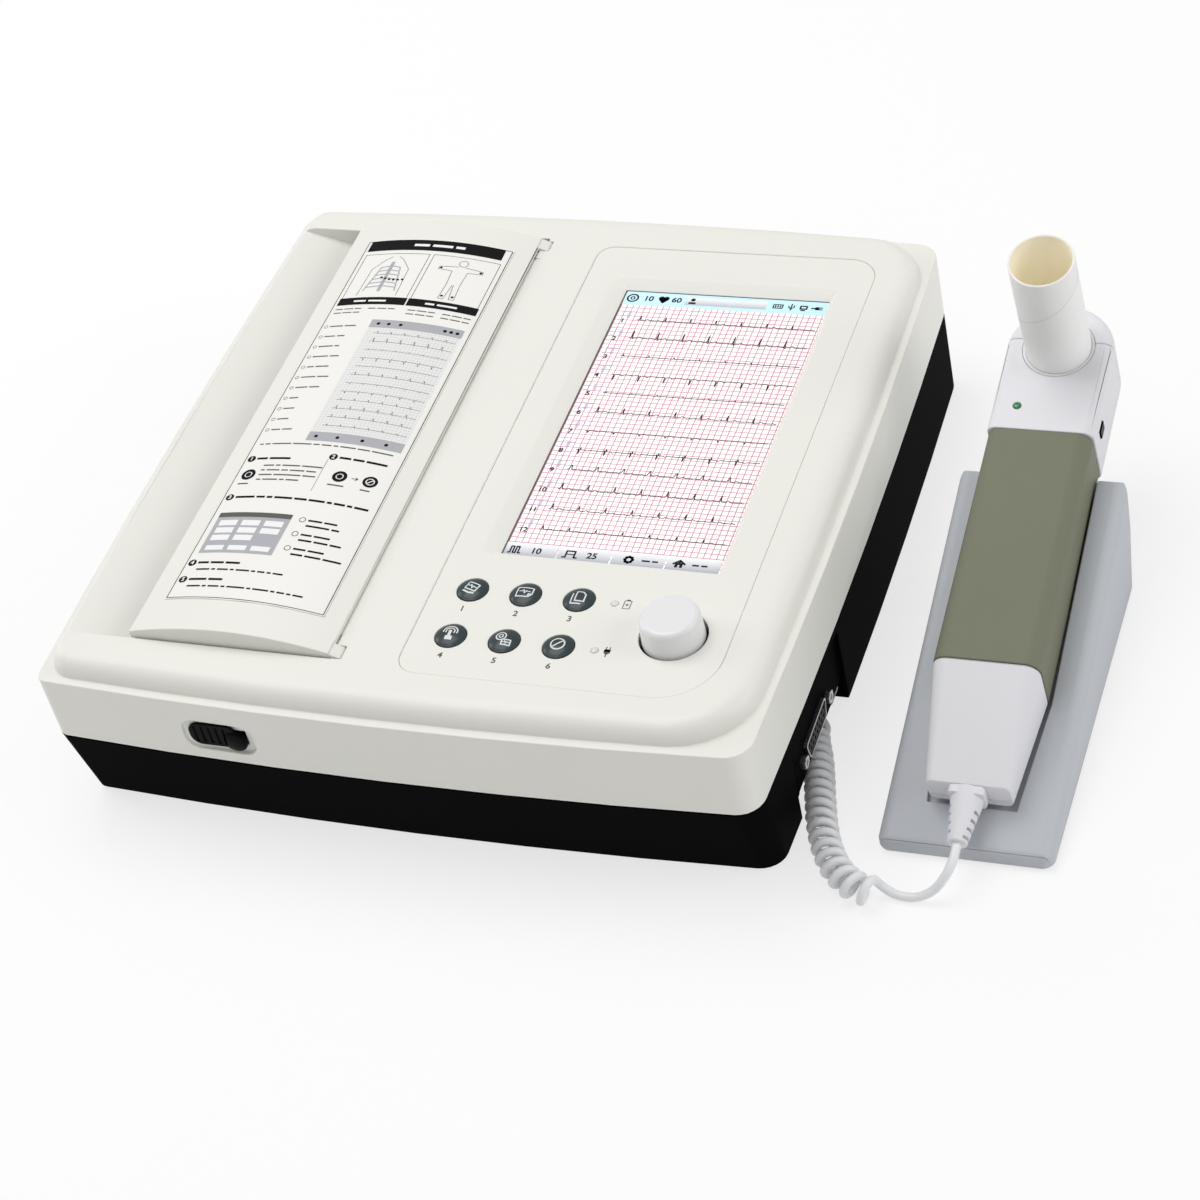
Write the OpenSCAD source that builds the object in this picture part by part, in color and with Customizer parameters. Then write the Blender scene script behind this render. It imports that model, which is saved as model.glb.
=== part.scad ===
// Desktop electrocardiograph recorder with a screen panel, a chart printer under an arched lid,
// and a lung-function handset that lies in its own cradle on a curly cord.
// Millimetres, +Z up, front towards -Y. Origin: middle of the set's footprint, on the table.

/* [Recorder case] */
// Width of the recorder between its corners
case_w = 280; // [274:1:290]
// Depth of the recorder between its corners
case_d = 284; // [280:1:292]
// How far each side bows outwards
side_bow = 2.6; // [1.5:0.1:3]
// How far the front and the back bow outwards
front_bow = 4.4; // [3:0.1:5]
// Corner radius of the case in plan
corner_r = 9; // [6:0.5:12]
// Radius of the upright corner at the front left
left_corner_r = 4; // [3:0.5:9]
// Height of the join between the pale upper case and the black lower case
split_z = 41; // [40:0.5:42]
// Height of the narrow ledge round the top
ledge_z = 70.6; // [70:0.1:71.2]
// Height of the raised top
top_z = 78.5; // [78:0.1:79]
// Width of the ledge
ledge_w = 3.5; // [3:0.1:4]
// How far the black front leans in at the bottom
front_lean = 9; // [6:0.5:11]
// Wall thickness of the case
wall = 2.6; // [2.2:0.1:3]

/* [Screen panel] */
// Width of the lit screen
screen_w = 85.4; // [80:0.2:88]
// Length of the lit screen
screen_l = 156.6; // [150:0.2:159]
// Middle of the screen across the recorder
screen_x = 63.2; // [61:0.2:65]
// Middle of the screen along the recorder
screen_y = 19; // [17:0.5:21]
// Diameter of a key
key_d = 11.7; // [11:0.1:13]
// Spacing of the keys across
key_pitch_x = 21; // [20:0.5:22]
// Spacing of the two rows of keys
key_pitch_y = 24; // [22:0.5:25]
// Travel of a key
key_travel = 0.6; // [0.3:0.1:0.7]
// Diameter of the turning knob
knob_d = 23.5; // [22:0.5:26]
// Height of the knob's top above the table
knob_top_z = 88.5; // [88:0.5:92]

/* [Printer] */
// Width of the printer lid
lid_w = 82; // [80:0.5:84]
// Length of the printer lid
lid_l = 244; // [242:0.5:246]
// Middle of the lid across the recorder
lid_x = -65; // [-66:0.5:-64]
// Width of the chart paper
paper_w = 210; // [200:1:210]
// Diameter of a full paper roll
roll_d = 46; // [30:1:46]
// Diameter of the platen roller
platen_d = 13; // [12:0.5:13]

/* [Handset and cradle] */
// Middle of the cradle across the recorder
cradle_x = 203.5; // [202:0.5:210]
// Width of the cradle
cradle_w = 64.5; // [62:0.5:68]
// Slope of the handset in its cradle, in degrees
rest_slope = 12.5; // [11.5:0.5:13]
// Width of the handset's grip
grip_w = 40; // [38:0.5:40]
// Length of the soft grip
grip_l = 102; // [98:1:102]
// Thickness of the handset
hand_t = 30; // [29:0.5:30]
// Outside diameter of the paper mouthpiece
mouth_d = 25; // [24:0.5:28]
// Length of the mouthpiece that stands clear of the handset
mouth_l = 52; // [40:1:60]

/* [Curly cord] */
// Diameter of the wire
wire_d = 3.4; // [2:0.1:3.4]
// Outside diameter of the curls
curl_d = 12; // [10:0.1:12]
// Number of curls
curls = 20; // [10:1:20]

/* [Hidden] */
$fn = 64;

// Colours as the set shows them
ivory = [0.93, 0.92, 0.89];
black = [0.06, 0.06, 0.06];
slate = [0.22, 0.27, 0.28];
olive = [0.52, 0.53, 0.45];
cool_white = [0.89, 0.89, 0.91];
cradle_grey = [0.75, 0.77, 0.80];
steel = [0.72, 0.72, 0.73];
board_green = [0.12, 0.38, 0.24];
rubber = [0.13, 0.13, 0.13];
paper_white = [0.95, 0.94, 0.90];

// Place of the recorder so that the origin is the middle of the whole set
set_x = -(cradle_x + cradle_w / 2 - case_w / 2 - side_bow) / 2;
foot_h = 2;
screw_head_z = foot_h + 3.4;
feet_x = [-108, 104];
feet_y = [-114, 112];
half_w = case_w / 2;
half_d = case_d / 2;
ceiling_z = 72.4;
panel_floor_z = 75;
panel_top_z = top_z - 0.3;
key_x0 = 17.8;
key_y0 = -81.2;
knob_x = 100;
knob_y = -94;
lamp_x = 73.6;

// Printer bay
bay_gap = 0.6;
shelf_w = 2.2;
shelf_z = 77.9;
gutter_w = 5.5;
gutter_l = 221;
bay_l = lid_l + 2 * bay_gap;
lid_left = lid_x - lid_w / 2;
lid_right = lid_x + lid_w / 2;
pin_x = lid_right + 2.2;
pin_z = 76.6;
platen_x = -97.5;
platen_z = 73.2;
gear_teeth = 20;
pinion_teeth = 12;
gear_module = 0.8;
gear_y = 109.6;
mesh_gap = gear_module * (gear_teeth + pinion_teeth) / 2 + 0.15;
mesh_angle = -87.4;
pinion_x = platen_x + mesh_gap * cos(mesh_angle);
pinion_z = platen_z + mesh_gap * sin(mesh_angle);
slider_front_y = -145.3;
roll_x = -62;
roll_z = 40;

// Connector bay on the right side: a recessed wall with a cord channel under it
side_back_y = -46;
side_front_y = -106;
recess_x = half_w + 0.5;
channel_x = 128.5;
channel_front_y = -107;
channel_h = 13.2;
socket_y = -81;
socket_z = 22;
jack_pitch = 33.3;
shell_w = 25.2;
shell_h = 8.6;
socket_back_x = half_w - wall;
plug_x = 134.5;
plug_z = 8.4;
plug_front_y = -58;

// Pivot of the power switch in the back wall
rocker_x = 100;
rocker_y = 142;
rocker_z = 21.5;

// Handset frame: the face's lower grip edge, with Y along the handset and Z out of its face
hand_y = -63.7;
hand_z = 48.8;
head_hw = 20.5;
head_y = 142;
tube_y = 141;
cap_y = 144.2;
chin_l = 43;
seam_z = -24;
shell = 2.2;
tube_bore_d = mouth_d + 0.2;
tube_d = mouth_d + 2.4;
mouth_depth = 17.5;
relief_tip_y = -64;
thumb_y = 78.5;
thumb_r = 121;
relief_z = -20;
trough_z = -hand_t - 0.4;
trough_hw = 20.9;
trough_front_hw = 16.3;
trough_front_y = -44.2;
cradle_front_y = -117;
cradle_back_y = 36;
cradle_lip_z = 8.4;
cradle_top_z = 49.6;
lip_r = 4;
back_r = 4;
crest_r = 5;
plan_r = 5;

// Curly cord: the axis that its curls wind round, then its plain tail to the handset
curl_axis = [[134.5, -63.2, 8.4], [136.8, -73, 6.5], [140.6, -82.6, 6.2], [143.8, -92.6, 6.2], [147, -103, 6.2],
    [150.5, -113.4, 6.2], [155, -123.4, 6.2], [161, -132.4, 6.2], [169.5, -139.2, 6.2], [180, -141, 6.2]];
tail = [[184, -140.5, 4], [189, -138.6, 2.6], [194, -136.2, 3.4], [198.6, -133, 6.4], [202, -129, 11]];
rings_per_curl = 8;
cord_sides = 6;

// Points along an arc
function arc_points(c, r, a0, a1, n) =
    [for (i = [0:n]) c + r * [cos(a0 + (a1 - a0) * i / n), sin(a0 + (a1 - a0) * i / n)]];

// One rounded corner of a rectangle, counted from the back right corner, anticlockwise
function corner_points(i, hw, hd, r, n) =
    arc_points([(i == 0 || i == 3 ? 1 : -1) * (hw - r), (i < 2 ? 1 : -1) * (hd - r)], r, 90 * i, 90 * i + 90, n);

// Rounded rectangle whose straight sides carry m - 1 points each
function rounded_box(hw, hd, radii, n = 6, m = 6) = [for (i = [0:3])
    let (a = corner_points(i, hw, hd, radii[i], n),
        j = (i + 1) % 4,
        b = corner_points(j, hw, hd, radii[j], n))
    each concat(a, [for (k = [1:m - 1]) a[n] + (b[0] - a[n]) * k / m])];

// Bows the sides of an outline outwards
function bowed(points) = [for (p = points)
    [p.x * (1 + side_bow / half_w * (1 - pow(p.y / half_d, 2))),
     p.y * (1 + front_bow / half_d * (1 - pow(p.x / half_w, 2)))]];

// Plan of the case, drawn in by a margin
function case_outline(inset = 0) =
    let (r = max(corner_r - inset, 2), l = max(left_corner_r - inset, 2))
    bowed(rounded_box(half_w - inset, half_d - inset, [r, r, l, r]));

// Plan of the raised top, with its own larger corners on the right
function top_outline(inset = 0) =
    bowed(rounded_box(half_w - ledge_w - inset, half_d - ledge_w - inset,
        [max(22 - inset, 3), max(10 - inset, 2), max(10 - inset, 2), max(27 - inset, 3)]));

// Plan of the black bottom, leaning in at the front
function bottom_outline() = [for (p = case_outline())
    [p.x, p.y < 0 ? p.y * (1 - front_lean / half_d) : p.y]];

// Plan of the control panel
function panel_outline(inset = 0) = [for (p = rounded_box(59.7 - inset, 123 - inset,
    [max(12 - inset, 1), max(7 - inset, 1), max(8 - inset, 1), max(22 - inset, 1)], 8, 2)) p + [62, -2]];

// Rounded rectangle centred on the origin, as a flat shape
module rounded_plate(w, l, r) {
    polygon(rounded_box(w / 2, l / 2, [r, r, r, r], 6, 1));
}

// Puts a recorder piece in the set's frame
module in_recorder() {
    translate([set_x, 0, 0])
        children();
}

// Puts a handset piece in the set's frame
module in_handset() {
    translate([set_x + cradle_x, hand_y, hand_z])
        rotate([rest_slope, 0, 0])
            children();
}

// Box given by its lowest and highest corners
module span(low, high) {
    translate(low)
        cube(high - low);
}

// Extrudes an outline drawn in X and Z along Y, from y0 to y1
module along_y(y0, y1) {
    translate([0, y1, 0])
        rotate([90, 0, 0])
            linear_extrude(y1 - y0)
                children();
}

// Extrudes an outline drawn in Y and Z along X, from x0 to x1
module along_x(x0, x1) {
    translate([x0, 0, 0])
        rotate([90, 0, 90])
            linear_extrude(x1 - x0)
                children();
}

// Cylinder along Y from y0 to y1
module rod_y(x, z, d, y0, y1) {
    translate([x, y0, z])
        rotate([-90, 0, 0])
            cylinder(d = d, h = y1 - y0);
}

// Cylinder along X from x0 to x1
module rod_x(y, z, d, x0, x1) {
    translate([x0, y, z])
        rotate([0, 90, 0])
            cylinder(d = d, h = x1 - x0);
}

post_places = [[118, -121], [118, 122], [-122, -108], [-122, 108]];

// Outside of the upper case: a straight wall, a ledge and a top with a round edge
module upper_outside() {
    r = top_z - ledge_z;
    translate([0, 0, split_z])
        linear_extrude(ledge_z - split_z)
            polygon(case_outline());
    hull()
        for (a = [0, 20, 40, 62, 90])
            translate([0, 0, ledge_z + r * sin(a) - 0.3])
                linear_extrude(0.3)
                    polygon(top_outline(r * (1 - cos(a))));
}

module upper_case() {
    color(ivory)
    in_recorder()
    difference() {
        union() {
            difference() {
                upper_outside();
                translate([0, 0, split_z - 1])
                    linear_extrude(67.6 - split_z + 1)
                        polygon(case_outline(wall));
                translate([0, 0, 60])
                    linear_extrude(ceiling_z - 60)
                        polygon(top_outline(10));
            }
            // Slab under the paper ramp
            span([-133, -bay_l / 2 - wall, 65.5], [lid_left + 1, bay_l / 2 + wall, ceiling_z + 0.2]);
            // Screw posts
            for (p = post_places)
                translate([p.x, p.y, 8])
                    cylinder(d = 8, h = p.x > 0 ? 65.5 : 59);
        }
        // Opening under the lid, with a shelf under the lid's right edge between the hinge ears
        span([lid_left - bay_gap, -bay_l / 2, 60], [lid_right - shelf_w, bay_l / 2, 90]);
        span([lid_right - shelf_w - 0.1, -bay_l / 2, shelf_z], [lid_right + bay_gap, bay_l / 2, 90]);
        for (s = [-1, 1])
            span([lid_right - shelf_w - 0.1, min(s * 115.4, s * bay_l / 2), 60],
                [lid_right + bay_gap, max(s * 115.4, s * bay_l / 2), 90]);
        // Shallow gutter beside the lid's right edge
        along_y(-gutter_l / 2, gutter_l / 2)
            polygon([[lid_right, shelf_z], [lid_right + bay_gap, shelf_z], [lid_right + gutter_w, top_z + 0.1],
                [lid_right, top_z + 0.1]]);
        // Paper ramp that rises from under the lid to the left edge
        along_y(-bay_l / 2, bay_l / 2)
            polygon([[-135, 76.8], [lid_left, 68.3], [lid_left, 95], [-135, 95]]);
        // Pockets and pin holes for the lid's hinge ears
        for (s = [-1, 1]) {
            span([lid_right - 1, s * 119 - 3.3, 70], [pin_x + 2.4, s * 119 + 3.3, 90]);
            rod_y(pin_x, pin_z, 2.04, s * 119 - 8, s * 119 + 8);
        }
        // Open notch behind the rear hinge ear
        span([lid_right - 1, 121, 70], [lid_right + 2.4, 124, 90]);
        // Pocket for the control panel, and the holes under it
        translate([0, 0, panel_floor_z])
            linear_extrude(10)
                polygon(panel_outline(-0.08));
        translate([screen_x, screen_y, 60])
            linear_extrude(20)
                rounded_plate(98.6, 167.6, 2);
        for (k = [0:5])
            translate([key_x0 + (k % 3) * key_pitch_x, key_y0 - floor(k / 3) * key_pitch_y, 60])
                cylinder(d = key_d + 3.4, h = 20);
        translate([knob_x, knob_y, 60])
            cylinder(d = knob_d + 2, h = 20);
        for (y = [key_y0, key_y0 - key_pitch_y])
            translate([lamp_x, y, 60])
                cylinder(d = 4, h = 20);
        // Recess and slot for the lid's release slider
        along_y(-160, -143.8)
            translate([-66.4, 53.6])
                rounded_plate(29.6, 14.6, 5.5);
        span([-73, -146, 50], [-55.4, -136, 57]);
        // Screw holes
        for (p = post_places)
            translate([p.x, p.y, 7])
                cylinder(d = 3.06, h = 12);
    }
}

// Outside of the lower case: the front leans in, the right side steps out behind the connectors
module lower_outside() {
    hull() {
        translate([0, 0, split_z - 0.3])
            linear_extrude(0.3)
                polygon(case_outline());
        translate([0, 0, foot_h])
            linear_extrude(0.3)
                polygon(bottom_outline());
    }
}

module lower_case() {
    color(black)
    in_recorder()
    difference() {
        union() {
            difference() {
                lower_outside();
                span([-half_w + wall, -128, foot_h + wall], [half_w - wall, half_d - wall, split_z + 1]);
            }
            // Thick wall round the cord channel
            span([channel_x - 2.6, channel_front_y - 3, foot_h + 1], [half_w - 0.5, side_back_y + 2.6, channel_h + 1.6]);
            for (p = post_places)
                translate([p.x, p.y, foot_h + 1])
                    cylinder(d = 10, h = 5);
        }
        // Connector recess and cord channel
        span([recess_x, side_front_y, -1], [half_w + 10, side_back_y, 37.5]);
        span([channel_x, channel_front_y, -1], [half_w + 10, side_back_y, channel_h]);
        // Openings for the patient cable's socket and its screws
        translate([0, socket_y, socket_z])
            along_x(recess_x - 4, recess_x + 1)
                d_shape(shell_w + 0.4, shell_h + 0.4);
        for (s = [-1, 1])
            rod_x(socket_y + s * jack_pitch / 2, socket_z, 3.2, recess_x - 4, recess_x + 1);
        rod_y(plug_x, plug_z, 7.2, side_back_y - 1, side_back_y + 10);
        // Feet recesses
        for (x = feet_x, y = feet_y)
            translate([x, y, -1])
                cylinder(d = 14, h = foot_h + 1.8);
        // Countersunk screw holes
        for (p = post_places) {
            translate([p.x, p.y, -1])
                cylinder(d = 3.4, h = 20);
            translate([p.x, p.y, -1])
                cylinder(d = 6.6, h = screw_head_z + 1.02);
        }
        // Mains inlet, power switch and data sockets in the back wall
        span([44, 143.4, 9.5], [78, 160, 35.5]);
        span([47, 130, 12], [75, 160, 33]);
        span([88.5, 143.4, 12], [111.5, 160, 31]);
        rod_x(rocker_y, rocker_z, 2.06, rocker_x - 12, rocker_x + 12);
        span([90, 130, 13.8], [110, 160, 29.2]);
        span([-18.2, 130, 10.8], [28.2, 160, 25.2]);
        // Air slots in the back wall
        for (i = [0:7])
            span([-116 + i * 8, 130, 12], [-112.5 + i * 8, 160, 30]);
    }
}

module control_panel() {
    color(ivory)
    in_recorder()
    difference() {
        translate([0, 0, panel_floor_z])
            linear_extrude(panel_top_z - panel_floor_z)
                polygon(panel_outline());
        // Bevelled window over the screen
        translate([screen_x, screen_y, 0])
            hull() {
                translate([0, 0, panel_floor_z - 0.05])
                    linear_extrude(0.1)
                        square([screen_w, screen_l], center = true);
                translate([-1.2, 1.4, panel_top_z])
                    linear_extrude(0.1)
                        square([screen_w + 8.6, screen_l + 7.4], center = true);
            }
        for (k = [0:5])
            translate([key_x0 + (k % 3) * key_pitch_x, key_y0 - floor(k / 3) * key_pitch_y, 60])
                cylinder(d = key_d + 0.5, h = 30);
        translate([knob_x, knob_y, 60])
            cylinder(d = knob_d + 2, h = 30);
        for (y = [key_y0, key_y0 - key_pitch_y])
            translate([lamp_x, y, 60])
                cylinder(d = 2.9, h = 30);
    }
}

module touch_glass() {
    color([0.75, 0.82, 0.84])
    in_recorder()
    translate([screen_x, screen_y, panel_floor_z - 1.8])
        linear_extrude(1.8)
            rounded_plate(97.6, 166.6, 1.5);
}

module lcd_module() {
    color([0.30, 0.31, 0.33])
    in_recorder()
    translate([screen_x, screen_y, panel_floor_z - 7.4])
        linear_extrude(5.5)
            rounded_plate(96, 165, 1);
}

// One round key with a domed top and a wider foot that keeps it under the panel
module key(k) {
    r = key_d / 2;
    color(slate)
    in_recorder()
    translate([key_x0 + (k % 3) * key_pitch_x, key_y0 - floor(k / 3) * key_pitch_y, 0])
        rotate_extrude()
            polygon(concat([[0, 72.4], [r + 1.2, 72.4], [r + 1.2, 74.2], [r, 74.2], [r, 78.6]],
                [for (i = [1:7]) [r * cos(i * 90 / 7), 78.6 + 1.2 * sin(i * 90 / 7)]]));
}

module key_1() {
    key(0);
}

module key_2() {
    key(1);
}

module key_3() {
    key(2);
}

module key_4() {
    key(3);
}

module key_5() {
    key(4);
}

module key_6() {
    key(5);
}

module key_board() {
    color(board_green)
    in_recorder()
    difference() {
        union() {
            span([8, -118, 68.4], [112, -72, 70]);
            // Switch under each key
            for (k = [0:5])
                translate([key_x0 + (k % 3) * key_pitch_x, key_y0 - floor(k / 3) * key_pitch_y, 69.9])
                    cylinder(d = 6, h = 1.6);
        }
        translate([knob_x, knob_y, 60])
            cylinder(d = 15.4, h = 20);
        translate([118, -121, 60])
            cylinder(d = 9, h = 20);
    }
}

module jog_knob() {
    r = knob_d / 2;
    color(cool_white)
    in_recorder()
    translate([knob_x, knob_y, 0])
        rotate_extrude()
            polygon(concat([[3.05, 76.2], [r - 0.6, 76.2], [r, 76.8], [r - 0.5, knob_top_z - 2.4]],
                arc_points([r - 2.9, knob_top_z - 2.4], 2.4, 15, 90, 6),
                [[0, knob_top_z], [0, knob_top_z - 3], [3.05, knob_top_z - 3]]));
}

module jog_shaft() {
    color(steel)
    in_recorder()
    translate([knob_x, knob_y, 0]) {
        translate([0, 0, 66])
            cylinder(d = 6, h = knob_top_z - 3.4 - 66);
        translate([0, 0, 64.5])
            cylinder(d = 9, h = 1.5);
    }
}

module encoder() {
    color([0.35, 0.36, 0.38])
    in_recorder()
    translate([knob_x, knob_y, 0])
        difference() {
            union() {
                translate([-7, -7, 58])
                    cube([14, 14, 10]);
                translate([0, 0, 67.9])
                    cylinder(d = 9, h = 5);
            }
            translate([0, 0, 66.6])
                cylinder(d = 6.1, h = 10);
            translate([0, 0, 62.6])
                cylinder(d = 9.4, h = 4.2);
        }
}

module indicator_lights() {
    color([0.80, 0.82, 0.80])
    in_recorder()
    for (y = [key_y0, key_y0 - key_pitch_y])
        translate([lamp_x, y, 0])
            rotate_extrude()
                polygon([[0, 72.6], [1.43, 72.6], [1.43, 78.2], [1.0, 78.5], [0, 78.6]]);
}

// Crown of the lid: an arc through its right edge, its middle and its left edge
lid_mid_z = 86;
lid_chord = lid_w;
lid_rise = 5.5;
lid_arc_r = (pow(lid_chord / 2, 2) + pow(lid_rise, 2)) / (2 * lid_rise);
lid_tilt = 0.6;

// Height of the lid's outside at a place across it
function lid_top(x) =
    lid_mid_z - lid_rise - (x - lid_x) * sin(lid_tilt)
    + sqrt(pow(lid_arc_r, 2) - pow(x - lid_x, 2)) - (lid_arc_r - lid_rise);

// Band that follows the lid's crown between two places and two heights over it
function lid_band(x0, x1, low, high, n = 18) = concat(
    [for (i = [0:n]) let (x = x0 + (x1 - x0) * i / n) [x, lid_top(x) + high]],
    [for (i = [n:-1:0]) let (x = x0 + (x1 - x0) * i / n) [x, lid_top(x) + low]]);

module printer_lid() {
    end_y = lid_l / 2;
    color(ivory)
    in_recorder()
    difference() {
        union() {
            along_y(-end_y, end_y)
                polygon(lid_band(lid_left, lid_right, -2.4, 0));
            // End walls
            for (s = [-1, 1])
                along_y(s > 0 ? end_y - 2.4 : -end_y, s > 0 ? end_y : -end_y + 2.4)
                    polygon(concat([for (i = [0:18])
                        let (x = lid_left + lid_w * i / 18) [x, lid_top(x) - 1]],
                        [[lid_right, 78], [lid_right - 3, 76.8], [lid_left + 2, 76.8], [lid_left, 78.6]]));
            // Tear edge along the paper slot
            span([lid_left, -end_y, 77.6], [lid_left + 3, end_y, lid_top(lid_left) - 0.6]);
            // Brackets that carry the platen roller
            for (s = [-1, 1])
                along_y(s * 117 - 1.4, s * 117 + 1.4)
                    polygon([[-103.6, 69.5], [-91.5, 69.5], [-86, lid_top(-86) - 1], [-103.6, lid_top(-103.6) - 1]]);
            // Hinge ears
            for (s = [-1, 1])
                along_y(s * 119 - 3, s * 119 + 3)
                    union() {
                        translate([pin_x, pin_z])
                            circle(d = 4.2);
                        polygon([[lid_right - 3, 78], [pin_x - 1.6, pin_z - 1.2], [pin_x + 0.6, pin_z + 2],
                            [lid_right - 0.1, lid_top(lid_right) - 0.2], [lid_right - 3, lid_top(lid_right - 3) - 0.6]]);
                    }
            // Catch tongue for the release slider
            difference() {
                span([-61, -122, 67.2], [-58.6, -111, 84]);
                span([-62, -118.6, 69], [-57, -113.4, 72.4]);
            }
        }
        for (s = [-1, 1])
            rod_y(pin_x, pin_z, 2.14, s * 119 - 8, s * 119 + 8);
        rod_y(platen_x, platen_z, 5.1, -120, 120);
        // Room for the platen gear
        rod_y(platen_x, platen_z, gear_module * (gear_teeth + 1.6) + 1, gear_y - 0.6, gear_y + 5.2);
        // Thinned edge that swings clear of the case
        span([lid_right - 2.6, -115.8, 70], [lid_right + 1, 115.8, 78.25]);
    }
}

module lid_hinge_pins() {
    color(steel)
    in_recorder()
    for (s = [-1, 1])
        rod_y(pin_x, pin_z, 2, s * 119 - 7.5, s * 119 + 7.5);
}

module guide_label() {
    color(paper_white)
    in_recorder()
    along_y(-106, 109.5)
        polygon(lid_band(-97.2, -31.6, 0.02, 0.3));
}

module platen_roller() {
    color([0.2, 0.2, 0.21])
    in_recorder() {
        rod_y(platen_x, platen_z, platen_d, -paper_w / 2 - 2, paper_w / 2 + 2);
        rod_y(platen_x, platen_z, 5, -119, 119);
    }
}

// Spur gear outline with straight-sided teeth
module gear_outline(teeth, bore, phase = 0) {
    pitch_r = gear_module * teeth / 2;
    root_r = pitch_r - 1.05 * gear_module;
    tip_r = pitch_r + 0.8 * gear_module;
    step = 360 / teeth;
    difference() {
        polygon([for (i = [0:teeth - 1]) let (a = phase + i * step)
            each [root_r * [cos(a - 0.33 * step), sin(a - 0.33 * step)],
                tip_r * [cos(a - 0.12 * step), sin(a - 0.12 * step)],
                tip_r * [cos(a + 0.12 * step), sin(a + 0.12 * step)],
                root_r * [cos(a + 0.33 * step), sin(a + 0.33 * step)]]]);
        circle(d = bore);
    }
}

module platen_gear() {
    color([0.92, 0.92, 0.9])
    in_recorder()
    translate([platen_x, 0, platen_z])
        along_y(gear_y, gear_y + 4.6)
            gear_outline(gear_teeth, 5.02, mesh_angle);
}

module motor_pinion() {
    color([0.75, 0.62, 0.36])
    in_recorder() {
        translate([pinion_x, 0, pinion_z])
            along_y(gear_y, gear_y + 4.6)
                gear_outline(pinion_teeth, 1.98, mesh_angle + 180 + 180 / pinion_teeth);
        rod_y(pinion_x, pinion_z, 2, gear_y - 1, 126);
    }
}

module feed_motor() {
    color(steel)
    in_recorder()
    difference() {
        rod_y(pinion_x, pinion_z, 14, 122.4, 139);
        rod_y(pinion_x, pinion_z, 2.12, 122, 126.6);
    }
}

module print_head() {
    color([0.6, 0.61, 0.63])
    in_recorder()
    union() {
        span([-104.5, -107, 61.5], [-92.5, 107, 65]);
        // Raised row of heating dots under the platen
        span([-99.5, -105, 64.9], [-95.5, 105, 66.3]);
        // Cooling fins
        for (i = [0:2])
            span([-103.5 + i * 3.4, -107, 57.5], [-102 + i * 3.4, 107, 61.6]);
    }
}

module paper_tray() {
    color([0.82, 0.82, 0.80])
    in_recorder()
    difference() {
        span([-91, -121, 12], [-26, 121, 56]);
        span([-89.4, -119.4, 13.6], [-27.6, 119.4, 60]);
        // Saddles for the spindle
        for (s = [-1, 1])
            span([roll_x - 4.05, s * 120 - 3, roll_z], [roll_x + 4.05, s * 120 + 3, 60]);
        rod_y(roll_x, roll_z, 8.1, -130, 130);
    }
}

module roll_spindle() {
    color([0.3, 0.3, 0.32])
    in_recorder()
    rod_y(roll_x, roll_z, 8, -121, 121);
}

module paper_roll() {
    color(paper_white)
    in_recorder()
    difference() {
        rod_y(roll_x, roll_z, roll_d, -paper_w / 2, paper_w / 2);
        rod_y(roll_x, roll_z, 8.16, -paper_w / 2 - 1, paper_w / 2 + 1);
    }
}

module latch_slider() {
    color(black)
    in_recorder() {
        difference() {
            union() {
                // Pad that the finger pushes
                along_y(slider_front_y, -144.15)
                    translate([-68.4, 54.4])
                        rounded_plate(20, 11, 4.5);
                // Domed thumb end
                translate([-59.9, -144.15, 52.4])
                    rotate([90, 0, 0])
                        rotate_extrude()
                            polygon(concat([[0, 0], [4.8, 0]], [for (i = [0:6])
                                [4.8 * cos(15 * i), 1.1 * sin(15 * i) - slider_front_y - 144.15]]));
                span([-70, -144.4, 51], [-57, -138, 56]);
            }
            // Grip ribs
            for (i = [0:4])
                span([-76 + i * 3, -147, 50.4], [-75 + i * 3, slider_front_y + 0.6, 58.6]);
        }
        // Arm under the top and the bolt that meets the lid's tongue
        span([-70, -140.4, 51], [-57, -138, 66.6]);
        span([-57.1, -140.4, 64], [-50, -113.8, 66.6]);
        span([-55.9, -118, 66.5], [-50, -114, 71.6]);
        span([-58.1, -117.2, 69.6], [-55.8, -114.8, 71.6]);
    }
}

module main_board() {
    color(board_green)
    in_recorder()
    difference() {
        union() {
            span([-14, -98, 9], [108, 112, 10.6]);
            // Main chips and shielded input stage
            span([0, -20, 10.5], [30, 10, 13]);
            span([50, -30, 10.5], [66, -14, 12.4]);
            span([66, -96, 10.5], [106, -62, 18]);
            span([10, 40, 10.5], [20, 60, 22]);
        }
        for (x = [-9, 103], y = [-92, 106])
            translate([x, y, 0])
                cylinder(d = 3.2, h = 30);
    }
}

module power_supply() {
    color([0.66, 0.67, 0.68])
    in_recorder()
    span([32, 60, 12.6], [106, 108, 46]);
}

module battery_pack() {
    color([0.16, 0.22, 0.36])
    in_recorder()
    span([32, -8, 14], [104, 54, 36]);
}

// Flat outline of a D-shaped connector shell, wide side up
module d_shape(w, h) {
    polygon([[-w / 2 + h * 0.18 + 1, -h / 2], [w / 2 - h * 0.18 - 1, -h / 2], [w / 2 - h * 0.18, -h / 2 + 1],
        [w / 2, h / 2 - 1.2], [w / 2 - 1.2, h / 2], [-w / 2 + 1.2, h / 2], [-w / 2, h / 2 - 1.2],
        [-w / 2 + h * 0.18, -h / 2 + 1]]);
}

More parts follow.
